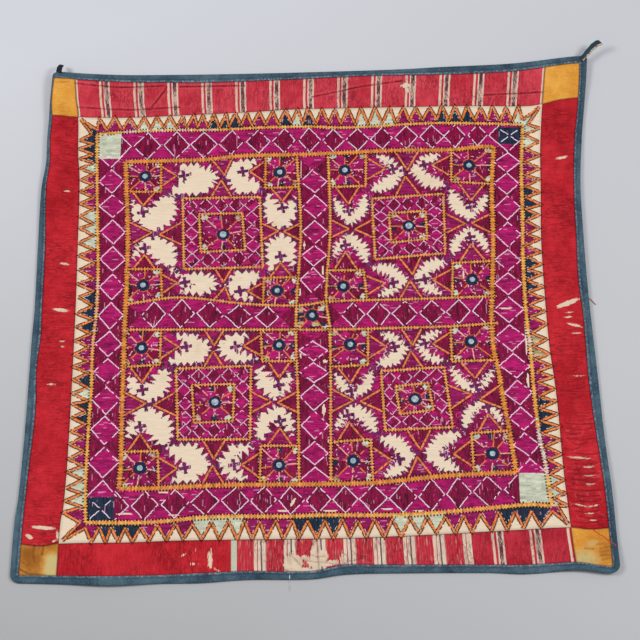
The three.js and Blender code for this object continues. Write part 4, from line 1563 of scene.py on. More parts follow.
def chart_mirror_square(chart, corners, middle):
    """A square of petals round a mirror, with pale corners and dark spots at the sides."""
    chart.polygon(corners, SHADED_MAGENTA)
    for k in range(SPOKES):
        angles = [(k + share) * 2 * math.pi / SPOKES for share in (0, 0.5, 1)]
        petal = [middle]
        for angle, share in zip(angles, PETAL_SHARES):
            petal.append(polar(middle, share * ray_to_side(corners, middle, angle), angle))
        chart.polygon(petal, PETAL_THREADS[k])
    centre = np.mean(corners, axis=0)
    spare = int(abs(middle[0] + middle[1])) % 4
    for k, corner in enumerate(corners):
        side = (np.array(corner) + corners[(k + 1) % 4]) / 2
        pale = np.array(corner) * 0.8 + centre * 0.2
        if k != spare:
            pale_thread = GREEN if (k + spare) % 3 else TAN
            chart.disc(*pale, PALE_RADII[0], pale_thread)
            chart.disc(*(pale * 0.85 + side * 0.15), PALE_RADII[1], pale_thread)
        if k % 2 == spare % 2:
            chart.disc(*(side * 0.76 + centre * 0.24), DARK_RADII[0], NAVY)
            chart.disc(*(side * 0.72 + centre * 0.2 + pale * 0.08), DARK_RADII[1], NAVY)


def quarter_sides(name):
    """The ladder lines round a quarter: level and upright, outer first."""
    row, column = name.split("_")
    level = (inner[row], cross[row])
    upright = (inner[column], cross[column])
    top, bottom = level if row == "top" else level[::-1]
    left, right = upright if column == "left" else upright[::-1]
    return {"left": left, "right": right, "bottom": bottom, "top": top}


def corner_squares(name):
    """The corners of each corner square in a quarter, from the ladders' corner round by the level ladder."""
    sides = quarter_sides(name)
    squares = []
    for k, (x, y, level_x, upright_y) in enumerate(QUARTERS[name]["squares"]):
        end = "top" if k < 2 else "bottom"
        side = "left" if k % 2 == 0 else "right"
        squares.append([
            place_in(sides, k % 2, k < 2),
            (level_x, float(sides[end](level_x))),
            (x, y),
            (float(sides[side](upright_y)), upright_y),
        ])
    return squares


def lerp(start, end, share):
    return tuple(a + (b - a) * share for a, b in zip(start, end))


PAIR_REACH = 0.43
PAIR_HALF_BASE = 0.24


def point_on(start, end, reach, away_from, low=0.17, high=0.83):
    """A point that stands on part of a side, as (foot, tip, foot), and leans away from a place."""
    foot = lerp(start, end, low)
    other_foot = lerp(start, end, high)
    middle = lerp(start, end, 0.5)
    normal = np.array([start[1] - end[1], end[0] - start[0]])
    normal = normal / np.linalg.norm(normal)
    if np.dot(normal, np.subtract(middle, away_from)) < 0:
        normal = -normal
    return [foot, tuple(middle + normal * reach), other_foot]


def quarter_points(name):
    """The points of a quarter: two on each corner square, and pairs tip to tip round the middle square."""
    quarter = QUARTERS[name]
    found = []
    for corners in corner_squares(name):
        centre = np.mean(corners, axis=0)
        for start, end in ((corners[1], corners[2]), (corners[2], corners[3])):
            found.append(point_on(start, end, quarter["point_reach"], centre))
    middle = quarter["middle"]
    centre = np.mean(middle, axis=0)
    sides = quarter_sides(name)
    for k, side in enumerate(SIDES_ROUND):
        start, end = middle[k], middle[(k + 1) % 4]
        x, y = lerp(start, end, 0.5)
        at, across = (x, y) if side in LEVEL_SIDES else (y, x)
        gap = abs(float(sides[side](at)) - across)
        half_base = PAIR_HALF_BASE * gap
        share = half_base / math.dist(start, end)
        found.append(point_on(start, end, PAIR_REACH * gap, centre, 0.5 - share, 0.5 + share))
        feet = [(foot, float(sides[side](foot))) for foot in (at - half_base, at + half_base)]
        feet = feet if side in LEVEL_SIDES else [foot[::-1] for foot in feet]
        beyond = np.add(lerp(*feet, 0.5), np.subtract(lerp(*feet, 0.5), (x, y)))
        found.append(point_on(*feet, PAIR_REACH * gap, beyond, 0, 1))
    return found


SMALL_CROSS = (9.5, 2.6)
TIP_CROSS_GAP = 12.5
TIP_CROSS_TURN = 0.2
SQUARE_CROSS_GAP = 9.0
MIDDLE_CROSS_GAP = 7.0
CORNERS_BY_ROW = [0, 1, 3, 2]
LEAF_APEX = 0.62
LEAF_FOOT_BY_MIDDLE = 0.13
LEAF_FOOT_BY_LADDER = 0.4
LEAF_BEND_AT = 0.55
LEAF_BENDS = (7.0, 4.0)
LEAF_TAPER = 14.0
LEAF_OUTLINE = 3.2
LEAF_END_WIDTH = 0.6
TOOTH_OUTWARD = 0.22
TOOTH_WANDER = 0.4
TOOTH_WANDER_GRAIN = 14
TOOTH_SIDE_SHIFT = 0.3
TOOTH_LEAST = 0.6
TOOTH_SPREAD = 0.8
EDGE_MARGIN = 3.2
EDGE_TOOTH = 0.7
QUARTER_MARGIN = 8
SHADE_GRAIN = 9
ROSE_ABOVE = 0.62
LIT_MAGENTA_ABOVE = 0.5


def leaf_runs(name):
    """The middle lines of the bare leaves round each corner square's points, as (end, bend, apex, width)."""
    quarter = QUARTERS[name]
    points, squares = quarter_points(name), corner_squares(name)
    pairs = {side: points[8 + 2 * k:10 + 2 * k] for k, side in enumerate(SIDES_ROUND)}
    middle_corners = np.array(quarter["middle"])[CORNERS_BY_ROW]
    runs = []
    for k, (point, widths) in enumerate(zip(points, quarter["leaves"])):
        square, upright = divmod(k, 2)
        if upright:
            side = "right" if square % 2 else "left"
            outer_foot = point[2]
        else:
            side = "top" if square < 2 else "bottom"
            outer_foot = point[0]
        on_middle, on_ladder = pairs[side]
        apex = lerp(point[1], lerp(on_middle[1], on_ladder[1], 0.5), LEAF_APEX)
        by_middle = lerp(lerp(squares[square][2], middle_corners[square], 0.5), apex, LEAF_FOOT_BY_MIDDLE)
        ladder_feet = sorted((on_ladder[0], on_ladder[2]), key=lambda foot: math.dist(foot, outer_foot))
        by_ladder = lerp(outer_foot, ladder_feet[0], LEAF_FOOT_BY_LADDER)
        for end, width, bend in zip((by_middle, by_ladder), widths, LEAF_BENDS):
            half_way = np.array(lerp(end, apex, LEAF_BEND_AT))
            across = np.array([end[1] - apex[1], apex[0] - end[0]]) / math.dist(end, apex)
            if np.dot(across, half_way - point[1]) < 0:
                across = -across
            runs.append((end, tuple(half_way + across * bend), apex, width))
    return runs


def inside_leaves(name, x, y):
    """How far places lie within the toothed edges of a quarter's bare leaves, below nothing outside them."""
    quarter = QUARTERS[name]
    deepest = np.full(x.shape, -1e9)
    bite = np.zeros(x.shape)
    for number, (end, bend, apex, width) in enumerate(leaf_runs(name)):
        first_away, first_along = off_segment(x, y, end, bend)
        next_away, next_along = off_segment(x, y, bend, apex)
        nearer = first_away < next_away
        away = np.where(nearer, first_away, next_away)
        past_apex = np.maximum(next_along - math.dist(bend, apex), 0)
        round_apex = np.arcsin(np.clip(past_apex / np.maximum(next_away, 1e-9), 0, 1)) * width / 2
        along = np.where(nearer, first_along, math.dist(end, bend) + next_along - past_apex + round_apex)
        side = (apex[0] - end[0]) * (y - end[1]) > (apex[1] - end[1]) * (x - end[0])
        row = 2 * number + side
        wander = TOOTH_WANDER * value_noise(along, row, TOOTH_WANDER_GRAIN, 1, 13)
        place = along / quarter["tooth_pitch"] + wander + TOOTH_SIDE_SHIFT * side
        tooth = np.floor(place)
        slant = abs(2 * (place - tooth) - 1)
        depth = quarter["tooth_depth"] * (TOOTH_LEAST + TOOTH_SPREAD * value_noise(tooth, row, 1, 1, 11))
        half_width = width / 2 * (LEAF_END_WIDTH + (1 - LEAF_END_WIDTH) * smoothstep(along, 0, LEAF_TAPER))
        deeper = half_width - away > deepest
        deepest = np.where(deeper, half_width - away, deepest)
        bite = np.where(deeper, depth * (slant - TOOTH_OUTWARD), bite)
    return deepest - bite


def edge_teeth(quarter, along, across):
    """How far the worked teeth reach from a straight edge into the bare ground."""
    wander = TOOTH_WANDER * value_noise(along, across, TOOTH_WANDER_GRAIN, 60, 13)
    place = along / quarter["tooth_pitch"] + wander
    return EDGE_MARGIN + EDGE_TOOTH * quarter["tooth_depth"] * (1 - abs(2 * (place - np.floor(place)) - 1))


def chart_quarter(chart, name):
    """A quarter's bare leaves in a worked ground, then its points, squares and middle."""
    quarter = QUARTERS[name]
    sides = quarter_sides(name)
    corners = [place_in(sides, s, t) for s in (0, 1) for t in (0, 1)]
    cells, x, y = chart.window_round(corners, QUARTER_MARGIN)
    within = inside_by(sides, x, y) > 0
    points = quarter_points(name)
    squares = corner_squares(name)
    middle = [*quarter["middle"], quarter["middle"][0]]
    level_lines = [middle[:2], middle[2:4], *(square[2:] for square in squares)]
    upright_lines = [middle[1:3], middle[3:], *(square[1:3] for square in squares)]
    off_level = [abs(y - sides[side](x)) for side in LEVEL_SIDES]
    off_level += [off_line(x, y, line) for line in level_lines]
    off_upright = [abs(x - sides[side](y)) for side in UPRIGHT_SIDES]
    off_upright += [off_line(x, y, line) for line in upright_lines]
    by_edge = np.minimum.reduce(off_level) < edge_teeth(quarter, x, y)
    by_edge |= np.minimum.reduce(off_upright) < edge_teeth(quarter, y, x)
    by_edge |= np.minimum.reduce([off_line(x, y, point) for point in points]) < EDGE_MARGIN
    leaf = inside_leaves(name, x, y)
    covered = within & ((leaf < 0) | by_edge)
    shade = value_noise(x, y, SHADE_GRAIN, SHADE_GRAIN, 12)
    beside_leaf = np.where(shade > ROSE_ABOVE, ROSE, PLUM)
    # The worked ground mixes level and upright stitches of one magenta floss, painted lit and in shade.
    ground = np.where(shade > LIT_MAGENTA_ABOVE, LIT_MAGENTA, SHADED_MAGENTA)
    thread = np.where(leaf > -LEAF_OUTLINE, beside_leaf, ground)
    cells[covered] = thread[covered]
    for number, point in enumerate(points):
        chart.polygon(point, ROSE if point[1][0] > point[0][0] else SHADED_MAGENTA)
        away = np.subtract(point[1], lerp(point[0], point[2], 0.5))
        cross_middle = np.array(point[1]) + away / np.linalg.norm(away) * TIP_CROSS_GAP
        if number < len(quarter["leaves"]):
            chart.disc(*cross_middle, quarter["cross_room"], BARE)
        chart.small_cross(cross_middle, TIP_CROSS_TURN)
    for square, corner in zip(squares, np.array(quarter["middle"])[CORNERS_BY_ROW]):
        inner_corner = np.array(square[2])
        for at, to, gap in (
            (inner_corner, corner, SQUARE_CROSS_GAP), (corner, inner_corner, MIDDLE_CROSS_GAP),
        ):
            chart.small_cross(at + (to - at) / np.linalg.norm(to - at) * gap, math.pi / 4)
    for square, mirror in zip(squares, MIRRORS[name]):
        chart_mirror_square(chart, square, mirror)
    chart_middle(chart, name)


def middle_lines(corners):
    """The sides of a slanted square as lines: left and right by y, bottom and top by x."""
    top_left, top_right, bottom_right, bottom_left = corners

    def straight(start, end, upright):
        (a, b), (c, d) = (start, end)
        if upright:
            return lambda y: a + (c - a) * (y - b) / (d - b)
        return lambda x: b + (d - b) * (x - a) / (c - a)

    return {
        "left": straight(bottom_left, top_left, True), "right": straight(bottom_right, top_right, True),
        "bottom": straight(bottom_left, bottom_right, False), "top": straight(top_left, top_right, False),
    }


def chart_middle(chart, name):
    """The middle square of a quarter: a band of small diamonds round a mirror square."""
    quarter = QUARTERS[name]
    rim = middle_lines(quarter["middle"])
    heart = middle_lines(quarter["heart"])
    cells, x, y = chart.window_round(quarter["middle"])
    within = inside_by(rim, x, y) > 0
    heights = shares_beyond(x, y, heart, rim)
    furthest = furthest_share(heights)
    count_x = quarter["small_diamonds"] * (x - rim["left"](y)) / (rim["right"](y) - rim["left"](y))
    count_y = quarter["small_diamonds"] * (y - rim["bottom"](x)) / (rim["top"](x) - rim["bottom"](x))
    for side, height in heights.items():
        level = side in LEVEL_SIDES
        diamonds = in_diamond(count_x if level else count_y, height)
        fill_diamonds(cells, within & (height >= furthest), diamonds, level)
    chart_mirror_square(chart, quarter["heart"], MIRRORS[name][4])


def chart_wear(chart):
    for worn_x, worn_y, half_length, half_width, turn in WORN_FLOSS:
        cells, x, y = chart.window_about(worn_x, worn_y, max(half_length, half_width))
        along, across = turned(x - worn_x, y - worn_y, math.radians(turn))
        cells[np.hypot(along / half_length, across / half_width) < 1] = BARE


CHART_BOX = (-412, 412, -390, 405)


def make_chart():
    chart = Chart(*CHART_BOX)
    chart_border(chart)
    chart_bands(chart)
    for name in QUARTERS:
        chart_quarter(chart, name)
    chart_cross(chart)
    chart_wear(chart)
    return chart


# Stitches

class Stitches:
    """Rows of stitches: place, turn, length, width, lift over the cloth, slope and colour."""

    def __init__(self, seed):
        self.rows = []
        self.random = np.random.default_rng(seed)

    def add(self, x, y, turn, length, width, colour, lift=0.0, slope=0.0, spread=0.07):
        """Adds stitches of a display colour, each a little lighter or darker."""
        x, y, turn, length, width, lift, slope = np.broadcast_arrays(
            *(np.asarray(value, float) for value in (x, y, turn, length, width, lift, slope))
        )
        if not x.size:
            return
        shade = 1 + spread * self.random.standard_normal((x.size, 1))
        tint = np.clip(linear(np.broadcast_to(colour, (x.size, 3))) * shade, 0, 1)
        columns = [value.reshape(-1, 1) for value in (x, y, turn, length, width, lift, slope)]
        self.rows.append(np.hstack([*columns, tint]))

    def table(self):
        return np.concatenate(self.rows)


def stitch_tree():
    """A node tree that lays a low crowned stitch on each point, by the reach, girth and aim it carries."""
    tree = bpy.data.node_groups.new("stitches on points", "GeometryNodeTree")
    kinds = {"Points": "Geometry", "Crown": "Float", "End height": "Float", "Floss": "Material"}
    inputs = {}
    for name, kind in kinds.items():
        socket = tree.interface.new_socket(name, in_out="INPUT", socket_type="NodeSocket" + kind)
        inputs[name] = socket.identifier
    tree.interface.new_socket("Stitches", in_out="OUTPUT", socket_type="NodeSocketGeometry")
    group_input = tree.nodes.new("NodeGroupInput")
    given = {name: Wire(tree, group_input.outputs[name]) for name in inputs}
    made = tree.nodes.new("NodeGroupOutput").inputs

    def named(name, kind="FLOAT"):
        return wire(tree, "GeometryNodeInputNamedAttribute", "Attribute", {"Name": name}, data_type=kind)

    grid_size = {"Size X": 1.0, "Size Y": 1.0, "Vertices X": 3, "Vertices Y": 3}
    grid = wire(tree, "GeometryNodeMeshGrid", "Mesh", grid_size)
    place = new_node(tree, "ShaderNodeSeparateXYZ", {0: wire(tree, "GeometryNodeInputPosition")})
    from_middle, from_ridge = (abs(Wire(tree, place.outputs[axis])) * 2.0 for axis in "XY")
    height = (1.0 - from_middle * (1.0 - given["End height"])) * (1.0 - from_ridge)
    offset = wire(tree, "ShaderNodeCombineXYZ", 0, {"Z": height})
    stitch = wire(tree, "GeometryNodeSetPosition", 0, {"Geometry": grid, "Offset": offset})
    size = {"X": named("reach"), "Y": named("girth"), "Z": given["Crown"]}
    laid = wire(tree, "GeometryNodeInstanceOnPoints", "Instances", {
        "Points": given["Points"], "Instance": stitch, "Scale": wire(tree, "ShaderNodeCombineXYZ", 0, size),
        "Rotation": wire(tree, "FunctionNodeEulerToRotation", 0, {0: named("aim", "FLOAT_VECTOR")}),
    })
    real = wire(tree, "GeometryNodeRealizeInstances", 0, {0: laid})
    smooth = wire(tree, "GeometryNodeSetShadeSmooth", 0, {0: real})
    dyed = wire(tree, "GeometryNodeSetMaterial", 0, {"Geometry": smooth, "Material": given["Floss"]})
    tree.links.new(dyed.socket, made[0])
    return tree, inputs


STITCH_TREE, STITCH_INPUTS = stitch_tree()
END_HEIGHT = 0.3


def stitched_piece(name, table, floss, surface=field_top):
    """Lays stitches on the cloth's face and makes them one mesh, riding on the part."""
    x, y, turn, length, width, lift, slope = table[:, :7].T
    half = length / 2
    rise = surface(x + half * np.cos(turn), y + half * np.sin(turn))
    rise = rise - surface(x - half * np.cos(turn), y - half * np.sin(turn))
    points = np.stack([x, y, surface(x, y) + lift], axis=1) * MM
    aim = np.stack([0 * turn, -np.arctan(rise / length + slope), turn], axis=1)
    mesh = bpy.data.meshes.new(name + " points")
    mesh.vertices.add(len(points))
    mesh.vertices.foreach_set("co", points.astype(np.float32).ravel())
    for key, kind, field, values in (
        ("reach", "FLOAT", "value", length * MM), ("girth", "FLOAT", "value", width * MM),
        ("aim", "FLOAT_VECTOR", "vector", aim),
        ("tint", "FLOAT_COLOR", "color", np.hstack([table[:, 7:], np.ones((len(table), 1))])),
    ):
        layer = mesh.attributes.new(key, kind, "POINT")
        layer.data.foreach_set(field, np.ascontiguousarray(values, np.float32).ravel())
    source = bpy.data.objects.new(name + " points", mesh)
    bpy.context.scene.collection.objects.link(source)
    modifier = source.modifiers.new("stitches", "NODES")
    modifier.node_group = STITCH_TREE
    modifier[STITCH_INPUTS["Crown"]] = STITCH_CROWN * MM
    modifier[STITCH_INPUTS["End height"]] = END_HEIGHT
    modifier[STITCH_INPUTS["Floss"]] = floss
    evaluated = source.evaluated_get(bpy.context.evaluated_depsgraph_get())
    stitched = bpy.data.meshes.new_from_object(evaluated)
    bpy.data.objects.remove(source)
    for key in ("reach", "girth", "aim"):
        if key in stitched.attributes:
            stitched.attributes.remove(stitched.attributes[key])
    piece = bpy.data.objects.new(name, stitched)
    bpy.context.scene.collection.objects.link(piece)
    places = np.zeros(len(stitched.vertices) * 3, np.float32)
    stitched.vertices.foreach_get("co", places)
    places = places.reshape(-1, 3)
    low, high = places.min(0), places.max(0)
    share = (places - low) / (high - low)
    set_map(piece, "OFBake", share[:, 0], share[:, 1])
    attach(piece, "root")
    return piece


SPLIT_UNEVEN = 0.32
END_OVERLAP = 0.3
END_UNEVEN = 0.25
LINE_WANDER = 0.08
SATIN_LEAN = 0.03
SATIN_WIDTHS = (1.08, 1.3)
SHORTEST_STITCH = 0.8
LEVEL_LIFT = 0.06
GLINT_STRENGTH = 0.6
DARKEST_SHADE = 0.3


def satin_shade(along, across, uneven):
    """How light or dark satin stitches are, in long streaks and short patches."""
    streak = value_noise(along, across, 26, 2.6, 31) + 0.6 * value_noise(along, across, 90, 14, 32)
    return 0.32 + 0.42 * streak + 0.66 * value_noise(along, across, 8, 3.4, 33) + uneven


def satin_stitches(chart):
    """Long stitches over every covered cell, laid across the cloth or up it as its thread is."""
    found = []
    random = np.random.default_rng(21)
    for upright in (False, True):
        cells = chart.thread.T if upright else chart.thread
        along_axis = chart.y if upright else chart.x
        line_axis = (chart.x if upright else chart.y)[::PITCH_CELLS]
        lines = cells[::PITCH_CELLS]
        lines = np.where(THREAD_UPRIGHT[lines] == upright, lines, BARE)
        lines = np.pad(lines, ((0, 0), (1, 1)))
        line, start = np.nonzero(lines[:, 1:] != lines[:, :-1])
        thread = lines[line, start + 1]
        end = np.append(start[1:], 0)
        sewn = thread != BARE
        line, start, end, thread = line[sewn], start[sewn], end[sewn], thread[sewn]
        low = along_axis[start] - CELL / 2
        length = (end - start) * CELL
        pieces = np.ceil(length / STITCH_REACH).astype(int)
        run = np.repeat(np.arange(len(line)), pieces)
        part = np.arange(len(run)) - np.repeat(np.cumsum(pieces) - pieces, pieces)
        count = len(run)
        uneven = random.uniform(-SPLIT_UNEVEN, SPLIT_UNEVEN, count + 1)
        first = np.where(part == 0, 0, part + uneven[:-1]) / pieces[run]
        final = np.where(part == pieces[run] - 1, pieces[run], part + 1 + uneven[1:]) / pieces[run]
        begin = low[run] + length[run] * first - END_OVERLAP + random.normal(0, END_UNEVEN, count)
        finish = low[run] + length[run] * final + END_OVERLAP + random.normal(0, END_UNEVEN, count)
        along = (begin + finish) / 2
        across = line_axis[line[run]] + random.normal(0, LINE_WANDER, count)
        shade = satin_shade(along, across, random.normal(0, 0.19, count))
        shade = np.where(thread[run] == GREEN, 0.55 + 0.45 * shade, shade)
        # Each stitch takes its thread's colour, with the painted sheen of the lit and shaded magenta, and a
        # few are drawn towards pale pink as painted glints.
        rubbed = GLINT_STRENGTH * (random.random((count, 1)) < GLINT_SHARE[thread[run]][:, None])
        tint = linear(THREAD_COLOURS)[thread[run]] * np.maximum(shade, DARKEST_SHADE)[:, None]
        tint = np.clip(tint * (1 - rubbed) + linear(GLINT_PINK) * rubbed, 0, 1)
        x, y = (across, along) if upright else (along, across)
        turn = (math.pi / 2 if upright else 0) + random.normal(0, SATIN_LEAN, count)
        width = CELL * PITCH_CELLS * random.uniform(*SATIN_WIDTHS, count)
        lift = np.full(count, 0.0 if upright else LEVEL_LIFT)
        reach = np.maximum(finish - begin, SHORTEST_STITCH)
        found.append(np.column_stack([x, y, turn, reach, width, lift, np.zeros(count), tint]))
    return np.concatenate(found)


def resampled(path, pitch):
    """Points at an even pitch along a path, with the path's direction at each."""
    path = np.asarray(path, float)
    steps = np.hypot(*np.diff(path, axis=0).T)
    total = np.concatenate([[0], np.cumsum(steps)])
    count = max(1, round(total[-1] / pitch))
    at = (np.arange(count) + 0.5) * total[-1] / count
    x = np.interp(at, total, path[:, 0])
    y = np.interp(at, total, path[:, 1])
    segment = np.clip(np.searchsorted(total, at, side="right") - 1, 0, len(steps) - 1)
    turn = np.arctan2(*np.diff(path, axis=0)[segment].T[::-1])
    return x, y, turn


# Faded stretches of the outer ladder: the colour of the pale stitches on a side, then (their share, where the
# stretch sets in, where it runs out) by places along the side
FADED_STRETCHES = {
    "right": (PALE_THREAD, [(0.8, (-275, -262), (-185, -172)), (0.45, (-80, -70), (-10, 5))]),
    "top": (PALE_THREAD, [(0.4, (-352, -325), (-165, -135))]),
    "left": (SPOKE_PINK, [(0.75, (-70, -10), (50, 100))]),
}


def pale_share(along, stretches):
    return sum(
        share * (smoothstep(along, *sets_in) * (1 - smoothstep(along, *runs_out)))
        for share, sets_in, runs_out in stretches
    )


LADDER_UNEVEN = (0.88, 1.14)
LADDER_LEAN = 0.06
BAR_LIFT = 0.35
TICK_LIFT = 0.8
TICKS_KEPT = 0.88


def ladder(stitches, path, width, colour=LADDER_ORANGE, faded_side=None):
    """A line of ladder stitch: close bars across the line, with dark ticks along both edges."""
    x, y, turn = resampled(path, LADDER_PITCH)
    random = stitches.random
    short = np.arange(len(x)) % 2 == 1
    wide = width * random.uniform(*LADDER_UNEVEN, len(x)) * np.where(short, 1 - NOTCH, 1)
    colours = np.tile(np.array(colour, float), (len(x), 1))
    if faded_side in FADED_STRETCHES:
        pale, stretches = FADED_STRETCHES[faded_side]
        along = x if faded_side in LEVEL_SIDES else y
        colours[random.random(len(x)) < pale_share(along, stretches)] = pale
    slant = turn + math.pi / 2 + random.normal(0, LADDER_LEAN, len(x))
    stitches.add(x, y, turn, LADDER_PITCH * 1.2, width * 0.72, LADDER_BROWN, 0.0, spread=0.2)
    stitches.add(x, y, slant, wide, LADDER_PITCH * 0.95, colours, BAR_LIFT, spread=0.2)
    for side in (-1, 1):
        off = side * 0.5 * width
        kept = short & (random.random(len(x)) < TICKS_KEPT)
        tick_x = (x - np.sin(turn) * off)[kept]
        tick_y = (y + np.cos(turn) * off)[kept]
        stitches.add(tick_x, tick_y, slant[kept], *TICK, TICK_BROWN, TICK_LIFT, spread=0.3)


ROPE_UNEVEN = (0.92, 1.22)
ROPE_SLANT = 1.05
ROPE_LIFT = 0.4


def rope(stitches, path, width, colour):
    """A line of slanted stitches."""
    x, y, turn = resampled(path, ROPE_PITCH)
    length = width * stitches.random.uniform(*ROPE_UNEVEN, len(x))
    stitches.add(x, y, turn + ROPE_SLANT, length, 1.15 * ROPE_PITCH, colour, ROPE_LIFT, spread=0.26)


BACK_STITCH_UNEVEN = (0.9, 1.12)
BACK_STITCH_LEAN = 0.1
BACK_STITCH_WANDER = 0.2


def back_stitches(stitches, path, width, colour, off=0.0, length=5.0, kept_share=0.93, lift=0.6):
    """A single line of stitches end to end, some of them gone."""
    x, y, turn = resampled(path, length)
    random = stitches.random
    kept = random.random(len(x)) < kept_share
    x = x - np.sin(turn) * off
    y = y + np.cos(turn) * off
    reach = length * random.uniform(*BACK_STITCH_UNEVEN, len(x))
    lean = turn + random.normal(0, BACK_STITCH_LEAN, len(x))
    x, y = np.array([x, y]) + random.normal(0, BACK_STITCH_WANDER, (2, len(x)))
    stitches.add(x[kept], y[kept], lean[kept], reach[kept], width, colour, lift)


def side_path(line, low, high, upright):
    """Points along a line between two places."""
    at = np.linspace(low, high, max(2, int(abs(high - low) / 6)))
    across = line(at)
    return np.stack([across, at] if upright else [at, across], axis=1)


def ring_paths(lines):
    """The paths of four lines, each from corner to corner."""
    return {
        side: side_path(lines[side], *side_reach(lines, side), side in UPRIGHT_SIDES) for side in SIDE_ENDS
    }


OUTER_WIDTHS = {"top": 6.2, "left": 6.6, "bottom": 8.0, "right": 7.8}
INNER_WIDTH = 9.0
UPRIGHT_ARM_WIDTH = 5.6
LEVEL_ARM_WIDTH = 5.4
MIDDLE_WIDTH = 5.4
HEART_WIDTH = 5.0
SQUARE_WIDTH = 5.2

# How far past the inner ladder's corners the lines of the crossing bands start and stop
UPRIGHT_ARM_ENDS = (8, 12)
LEVEL_ARM_ENDS = (0, -18)


def make_ladders():
    stitches = Stitches(51)
    for side, path in ring_paths(outer).items():
        ladder(stitches, path, OUTER_WIDTHS[side], LADDER_YELLOW, side)
    for path in ring_paths(inner).values():
        ladder(stitches, path, INNER_WIDTH, INNER_ORANGE)
    low, high = np.add(side_reach(inner, "left"), UPRIGHT_ARM_ENDS)
    for side in UPRIGHT_SIDES:
        ladder(stitches, side_path(cross[side], low, high, True), UPRIGHT_ARM_WIDTH)
    low, high = np.add(side_reach(inner, "bottom"), LEVEL_ARM_ENDS)
    for side in LEVEL_SIDES:
        ladder(stitches, side_path(cross[side], low, high, False), LEVEL_ARM_WIDTH)
    for name, quarter in QUARTERS.items():
        for corners, width in ((quarter["middle"], MIDDLE_WIDTH), (quarter["heart"], HEART_WIDTH)):
            for start, end in zip(corners, corners[1:] + corners[:1]):
                ladder(stitches, [start, end], width)
        square_orange = INNER_ORANGE if name == "top_left" else LADDER_ORANGE
        for square in corner_squares(name):
            for start, end in zip(square[1:], square[2:]):
                ladder(stitches, [start, end], SQUARE_WIDTH, square_orange)
    return stitches.table()


# The corner points between which each side's zigzag is worked
ZIGZAG_CORNERS = {
    "top": ((0, 1), (1, 1)), "bottom": ((0, 0), (1, 0)), "left": ((0, 1), (0, 0)), "right": ((1, 1), (1, 0)),
}


def zigzag_path(side, uneven):
    """The corners of the zigzag along one side of the pointed border, from corner point to corner point."""
    level = side in LEVEL_SIDES
    rows = POINT_ROWS[side]
    low, high = side_reach(outer, side)
    points = np.arange(rows[0][0] - 2, rows[-1][0] + 3)
    points = points[(point_at[side](points) > low) & (point_at[side](points) < high)]
    counts = np.arange(points[0], points[-1] + 0.1, 0.5)
    at = point_at[side](counts) + uneven[0][:len(counts)]
    height = np.where(counts == np.round(counts), ZIGZAG_POINT[side], ZIGZAG_FOOT[side])
    height = height + uneven[1][:len(counts)]
    across = outer[side](at) * (1 - height) + seam[side](at) * height
    path = np.stack([at, across] if level else [across, at], axis=1)
    corners = dict(zip(CORNER_THREADS, corner_points()))
    foot = 2 if level else 0
    first, final = (corners[corner][1][foot] for corner in ZIGZAG_CORNERS[side])
    return [first, *path, final]


MOST_CORNERS = 90
ZIGZAG_WIDTHS = {"top": 4.6, "left": 4.0, "bottom": 4.0, "right": 4.2}
ZIGZAG_LINES = [
    (2.5, 1.3, 0.92, EDGE_BLACK), (0.0, 0.9, 0.6, SPOKE_PINK), (-2.5, 1.1, 0.7, EDGE_BLACK),
    (-3.4, 1.1, 0.25, PALE_THREAD),
]
TIP_LENGTH = 4.5
TIP_WIDTH = 1.5
ZIGZAG_LINE_STITCH = 3.2
ZIGZAG_LINE_LIFT = 0.75
ZIGZAG_UNEVEN = [[1.0], [0.03]]


def make_zigzags():
    """Orange ropes along the points of the border, with dark lines beside them."""
    stitches = Stitches(52)
    runs = []
    for side in POINT_ROWS:
        uneven = stitches.random.normal(0, 1, (2, MOST_CORNERS)) * ZIGZAG_UNEVEN
        path = zigzag_path(side, uneven)
        outward = 1 if side in ("top", "right") else -1
        runs += [(start, end, outward, ZIGZAG_WIDTHS[side]) for start, end in zip(path, path[1:])]
        for inside, tip, next_inside in zip(path[::2], path[1::2], path[2::2]):
            back = np.subtract(tip, lerp(inside, next_inside, 0.5))
            back = back / np.linalg.norm(back) * TIP_LENGTH
            for start, end in ((tip, np.array(tip) + back), (inside, np.array(inside) - back)):
                ends = [start, end]
                back_stitches(stitches, ends, TIP_WIDTH, EDGE_BLACK, 0.0, TIP_LENGTH, 0.9, ZIGZAG_LINE_LIFT)
    for _, (foot, tip, other_foot, _) in corner_points():
        runs += [(foot, tip, 1, ZIGZAG_WIDTHS["left"]), (tip, other_foot, 1, ZIGZAG_WIDTHS["left"])]
    for start, end, outward, width in runs:
        rope(stitches, [start, end], width, ZIGZAG_ORANGE)
        for off, line_width, kept_share, colour in ZIGZAG_LINES:
            back_stitches(
                stitches, [start, end], line_width, colour, off * outward, ZIGZAG_LINE_STITCH, kept_share,
                ZIGZAG_LINE_LIFT,
            )
    return stitches.table()


DIAMOND_CORNERS = [(0.04, 0.5), (0.5, 0.93), (0.96, 0.5), (0.5, 0.07), (0.04, 0.5)]
BAND_UNEVEN = (0.7, 0.5)
SMALL_UNEVEN = (0.5, 0.4)

# The first and the last touch between which each row of diamonds is outlined
OUTLINE_RUNS = {
    "top": (-0.5, 14.5), "bottom": (-0.5, 13.5), "left": (-0.5, 11.5), "right": (-0.5, 12.5),
    "arm_left": (-0.4, 5.4), "arm_right": (-0.4, 5.6), "arm_up": (-0.4, 5.3), "arm_down": (-0.3, 5.5),
}
OUTLINE_WIDTH = 1.6
SMALL_OUTLINE_WIDTH = 1.3


